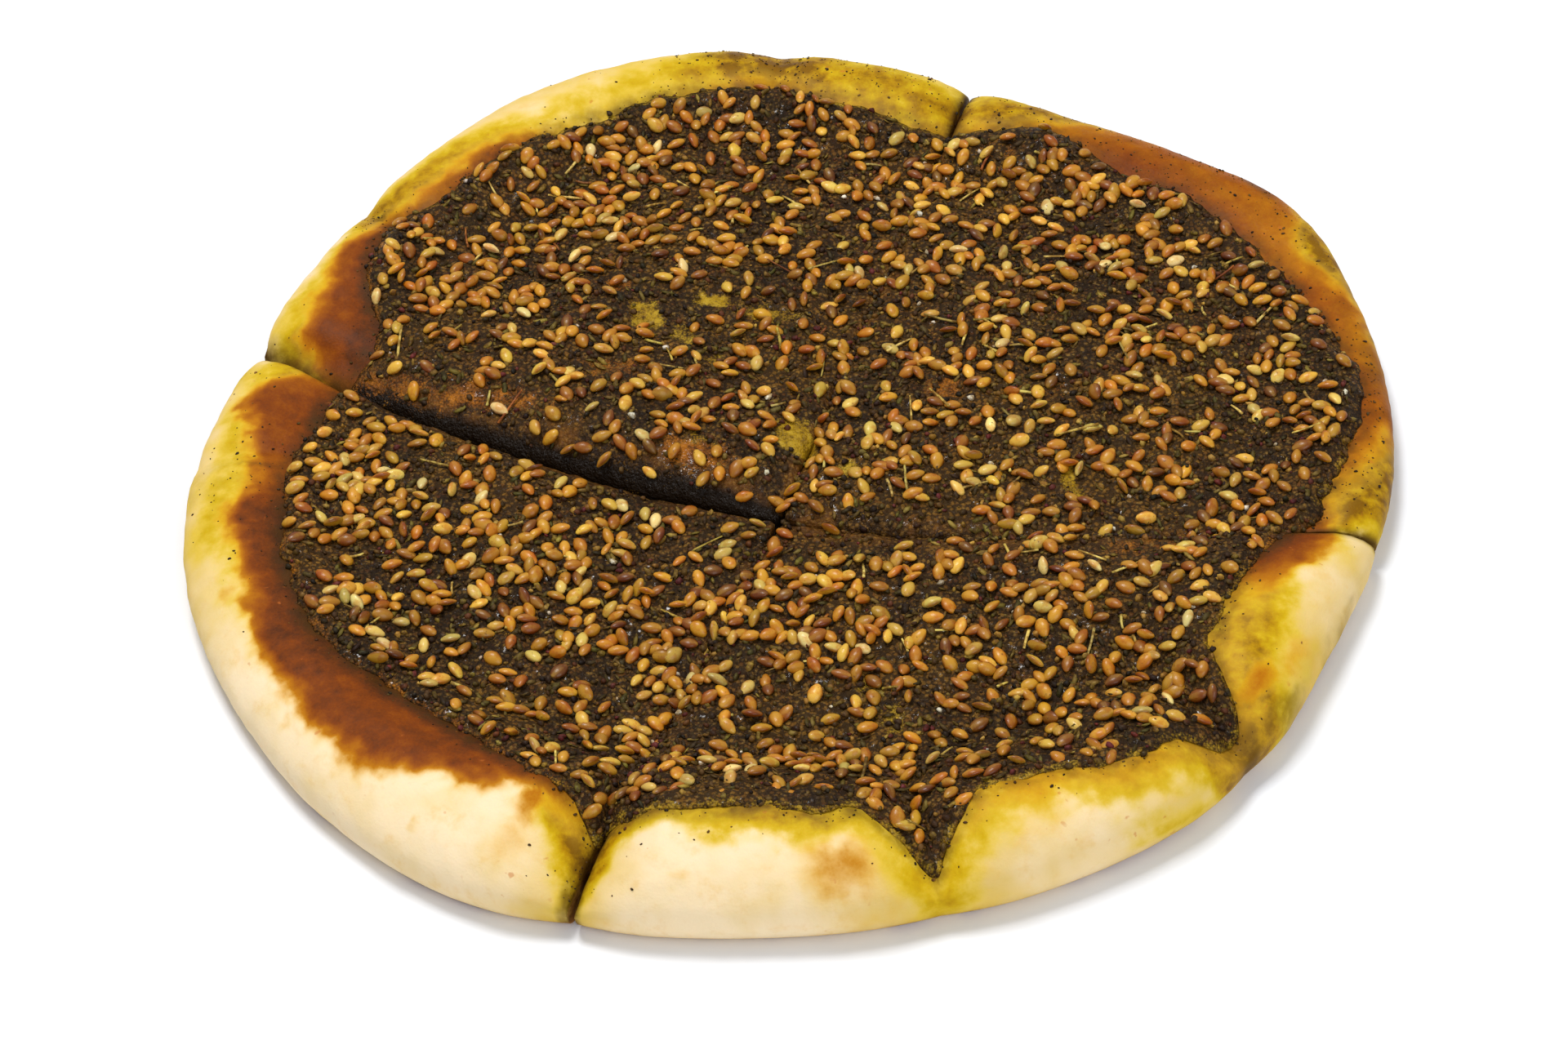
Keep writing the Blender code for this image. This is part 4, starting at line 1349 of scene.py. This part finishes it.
def seedColours():
    material, tree, shader = newMaterial("toastedSesame", 0.36, coat=0.2, shine=0.2)
    tone, margin = attribute(tree, "tone", "Color"), attribute(tree, "margin")
    grain = useGrain(tree, 0.45, 1.8)
    # Painted light in each seed's middle and painted shade towards its rim, where paste also sticks.
    darker = mixColour(tree, 1.0, tone, seedLook["margin"], "MULTIPLY")
    paintedLitMiddle = mixColour(tree, 0.35, tone, seedLook["belly"])
    browner = mixColour(tree, 1.0, tone, seedLook["blotches"], "MULTIPLY")
    colour = mixColour(tree, stretch(tree, margin, 0.0, 0.5), paintedLitMiddle, tone)
    colour = mixColour(tree, stretch(tree, margin, 0.55, 1.05, 0.0, 0.85), colour, darker)
    colour = mixColour(tree, stretch(tree, grain["Blotches"], 0.46, 0.66, 0.0, 0.6), colour, browner)
    burnt = stretch(tree, noiseAt(tree, place(tree), 0.7, 2.0), 0.66, 0.74, 0.0, 0.6)
    colour = mixColour(tree, burnt, colour, seedLook["burnt"])
    finishShader(tree, shader, colour, grain["Glints"], 0.42, 0.26)
    bump(tree, shader, grain["Grain"], 0.25, 0.12)
    softGlow(shader, 0.05, 0.5)
    return material


crumbLook = {
    "count": 7600,
    "tried": 14000,  # places
    "size": (0.5, 1.6),
    "shapes": 8,
    "palette": (
        (0.26, 66, 46, 18),
        (0.20, 90, 68, 26),
        (0.13, 44, 30, 12),
        (0.10, 92, 54, 24),
        (0.10, 116, 92, 36),
        (0.05, 98, 42, 36),
        (0.06, 146, 108, 42),
        (0.025, 180, 142, 62),
        (0.010, 232, 222, 200),
    ),
    "blotches": (170, 150, 120),
    "perCut": 420,
    "overCuts": {"top": 0.25, "bottom": 0.06, "right": 0.32},  # from this share of the cut's length
    "leaves": 2300,
    "leavesTried": 6400,
    "leafSize": (1.3, 3.0),
    "leafPalette": (
        (0.32, 86, 72, 28),
        (0.3, 110, 92, 36),
        (0.18, 62, 48, 20),
        (0.2, 144, 120, 50),
    ),
    "strays": 2200,  # on the crust, at most
    "straysTried": 60000,
    "fewest": 0.0012,  # share of the places used on clean crust
    "strayFine": (0.16, 0.42),
    "strayFineShare": 0.88,
    "strayCoarse": (0.45, 0.8),
    "strayPalette": (
        (0.4, 70, 50, 20),
        (0.3, 96, 70, 28),
        (0.2, 46, 32, 14),
        (0.1, 132, 92, 40),
    ),
}


def crumbColours(name, roughness):
    material, tree, shader = newMaterial(name, roughness, shine=0.18)
    tone = attribute(tree, "tone", "Color")
    grain = useGrain(tree, 0.4, 1.2)
    darker = mixColour(tree, 1.0, tone, crumbLook["blotches"], "MULTIPLY")
    colour = mixColour(tree, stretch(tree, grain["Blotches"], 0.40, 0.62), darker, tone)
    finishShader(tree, shader, colour, grain["Glints"], roughness + 0.1, roughness - 0.18)
    bump(tree, shader, grain["Grain"], 0.5, 0.15)
    return material


def crumbsInCuts(rng):
    # Crumbs that lie over the narrow cuts and hide them in places.
    places = []
    for cut, nearest in crumbLook["overCuts"].items():
        for _ in range(crumbLook["perCut"]):
            share = rng.uniform(nearest, 0.97)
            far = share * cutEnds[cut].length
            turn = cutDirection(cut, share) + rng.gauss(0, 0.45) / far  # about half a millimetre aside
            x, y = crossing[0] + far * math.cos(turn), crossing[1] + far * math.sin(turn)
            if math.hypot(x, y) < float(pasteEdge(math.degrees(math.atan2(y, x)))) - 0.5:
                places.append((x, y))
    return places


def kept(x, y, wanted, count):
    return list(zip(x[wanted], y[wanted]))[:count]


def scatter(name, surface, material, rng, shapes, places, palette, sizeOf, wobble, lift):
    # One mesh of things dropped at these places. wobble is how much they tilt each way, and lift
    # a distance and a share of their length.
    things = []
    for x, y in places:
        point, normal = surface.under(x, y)
        if point is None:
            continue
        size = sizeOf()
        turn = rng.uniform(0, 6.28)  # any way round
        tilt = tuple(rng.gauss(0, spread) if spread else 0 for spread in wobble)
        matrix = lie(point, normal, turn, size, tilt, lift[0] + lift[1] * size[0])
        things.append((rng.randrange(len(shapes)), matrix, pick(rng, palette)))
    joinMany(name, shapes, things, material)


def smoothSlope(x, y):
    # The oily slope on the back left slice, where hardly any crumbs lie, from 0 to 1.
    return 0.85 * nearCut(x, y, "BackLeft") * (cutDistance(x, y)[1] == 1)


def bareness(x, y):
    return np.maximum(spotted(x, y, olivePlaces), spotted(x, y, toastedPlaces))


def strewCrumbs(surface, material):
    look = crumbLook
    rng = random.Random(5)
    shapes = range(look["shapes"])
    grains = [flakeShape(rng, 0.22, 1.0, 0.8, 0.62, 0.0, 0.0) for _ in shapes]
    leaves = [flakeShape(rng, 0.1, 1.0, 0.42, 0.16, rng.uniform(-0.3, 0.3), 0.9) for _ in shapes]
    x, y, inwards, aside, chance = strewn(5, look["tried"])
    wanted = (inwards > 1.8 * (chance * 3.7 % 1) - 0.8) & (aside > -0.3) & (chance > 0.9 * bareness(x, y))
    wanted &= chance * 5.3 % 1 > smoothSlope(x, y)
    places = kept(x, y, wanted, look["count"]) + crumbsInCuts(rng)

    def crumbSize():
        return (rng.uniform(*look["size"]),) * 3

    def leafSize():
        return (rng.uniform(*look["leafSize"]),) * 3

    crumbs = (grains, places, look["palette"], crumbSize, (0.5, 0.5), (0.0, 0.12))
    scatter("pasteCrumbs", surface, material, rng, *crumbs)
    x, y, inwards, aside, chance = strewn(6, look["leavesTried"])
    wanted = (inwards > 1.0) & (aside > 0.2) & (chance > np.maximum(bareness(x, y), smoothSlope(x, y)))
    places = kept(x, y, wanted, look["leaves"])
    flakes = (leaves, places, look["leafPalette"], leafSize, (0.3, 0.3), (0.16, 0.0))
    scatter("thymeLeaves", surface, material, rng, *flakes)


def strewStrays(surface, material):
    # Herb dust on the crust, thick where it is smeared and along the painted shade lines.
    look = crumbLook
    rng = random.Random(13)
    grains = [flakeShape(rng, 0.25, 1.0, 0.7, 0.5, 0.0, 0.0) for _ in range(look["shapes"])]
    x, y, inwards, aside, chance = strewn(13, look["straysTried"])
    angle = np.degrees(np.arctan2(y, x))
    onCrust = (inwards < 0) & (np.hypot(x, y) < rimReach(angle) - 1.6) & (aside > 0.9)  # not at an edge
    x, y, inwards, angle, chance = (values[onCrust] for values in (x, y, inwards, angle, chance))
    dusty = np.maximum(around(angle, dustBy, baked) * 0.5, 0.8 * spotted(x, y, smearsAndShadeLines))
    dusty = np.maximum(dusty, 0.5 * np.exp(inwards / 1.3))
    places = kept(x, y, chance < np.maximum(dusty, look["fewest"]), look["strays"])

    def straySize():
        sizes = look["strayFine"] if rng.random() < look["strayFineShare"] else look["strayCoarse"]
        return (rng.uniform(*sizes),) * 3

    strays = (grains, places, look["strayPalette"], straySize, (0, 0), (0.0, 0.1))
    scatter("crustSpecks", surface, material, rng, *strays)


stemLook = {
    "count": 120,
    "length": (2.5, 7.5),
    "width": (0.38, 0.6),
    "palette": (
        (0.5, 208, 184, 96),
        (0.25, 176, 150, 66),
        (0.15, 136, 112, 48),
        (0.1, 156, 92, 40),
    ),
}


def strewStems(surface, material):
    look = stemLook
    rng = random.Random(3)
    shapes = [stemShape(rng) for _ in range(8)]
    x, y, inwards, aside, _ = strewn(3, 400)
    places = kept(x, y, (inwards > 4) & (aside > 4), look["count"])

    def stemSize():
        shortest, longest = look["length"]
        length = shortest + (longest - shortest) * rng.random() ** 2
        wide = rng.uniform(*look["width"]) * 8.5  # the shape is that much thinner than long
        return length, wide, wide

    stems = (shapes, places, look["palette"], stemSize, (0, 0.05), (0.55, 0.0))
    scatter("thymeStems", surface, material, rng, *stems)


# Floor, light and camera

stageLook = {
    "floor": (236, 238, 242),
    "floorSize": 4.0,  # metres
    "sky": (0.95, 0.97, 1.0, 1),
    "skyStrength": 0.48,
    "lamps": (  # place and size in metres, power in watts
        ("window", (-0.2, 0.35, 1.1), 10.0, 0.4),
        ("fill", (0.42, -0.95, 0.8), 5.9, 0.8),
    ),
    "elevation": 43.43,  # of the camera, as fitted to the photo
    "roll": -4.05,
    "distance": 707.9,
    "aim": (-1.7, -13.1),
    "lens": 100,
}


def makeStage():
    shape = bmesh.new()
    bmesh.ops.create_grid(shape, x_segments=8, y_segments=8, size=stageLook["floorSize"] / 2)
    mesh = bpy.data.meshes.new("floor")
    shape.to_mesh(mesh)
    shape.free()
    material, _, shader = newMaterial("paleFloor", 0.8)
    shader.inputs["Base Color"].default_value = (*paint(*stageLook["floor"]), 1)
    mesh.materials.append(material)
    floor = addObject("floor", mesh)
    world = bpy.data.worlds.new("studio")
    world.use_nodes = True
    sky = world.node_tree.nodes["Background"].inputs
    sky["Color"].default_value = stageLook["sky"]
    sky["Strength"].default_value = stageLook["skyStrength"]
    bpy.context.scene.world = world
    bpy.context.scene.view_settings.view_transform = "Standard"
    for name, spot, power, size in stageLook["lamps"]:
        lamp = bpy.data.lights.new(name, "AREA")
        lamp.energy = power
        lamp.size = size
        holder = addObject(name, lamp)
        holder.location = spot
        holder.rotation_euler = (-Vector(spot)).to_track_quat("-Z", "Y").to_euler()


def makeCamera():
    rise, roll = math.radians(stageLook["elevation"]), math.radians(stageLook["roll"])
    back = Vector((0, -math.cos(rise), math.sin(rise)))
    camera = addObject("camera", bpy.data.cameras.new("camera"))
    camera.data.lens = stageLook["lens"]
    camera.data.sensor_width = 36
    camera.data.clip_start = 0.01
    camera.location = Vector((*stageLook["aim"], 0)) * mm + back * stageLook["distance"] * mm
    turn = (-back).to_track_quat("-Z", "Y").to_matrix().to_4x4() @ Matrix.Rotation(roll, 4, "Z")
    camera.rotation_euler = turn.to_euler()
    bpy.context.scene.camera = camera


makeStage()
makeCamera()
doughMaterial = breadColours()
pasteMaterial = pasteColours()
loaves = [makeBread(name, doughMaterial) for name in slices]
print("bread made")
layers = [makePaste(name, pasteMaterial) for name in slices]
print("paste laid")
surface = Surface(loaves + layers)
strewSeeds(surface, seedColours())
crumbMaterial = crumbColours("herbCrumbs", 0.5)
strewCrumbs(surface, crumbMaterial)
strewStrays(surface, crumbMaterial)
strewStems(surface, crumbColours("strawStems", 0.45))
print("topping strewn")
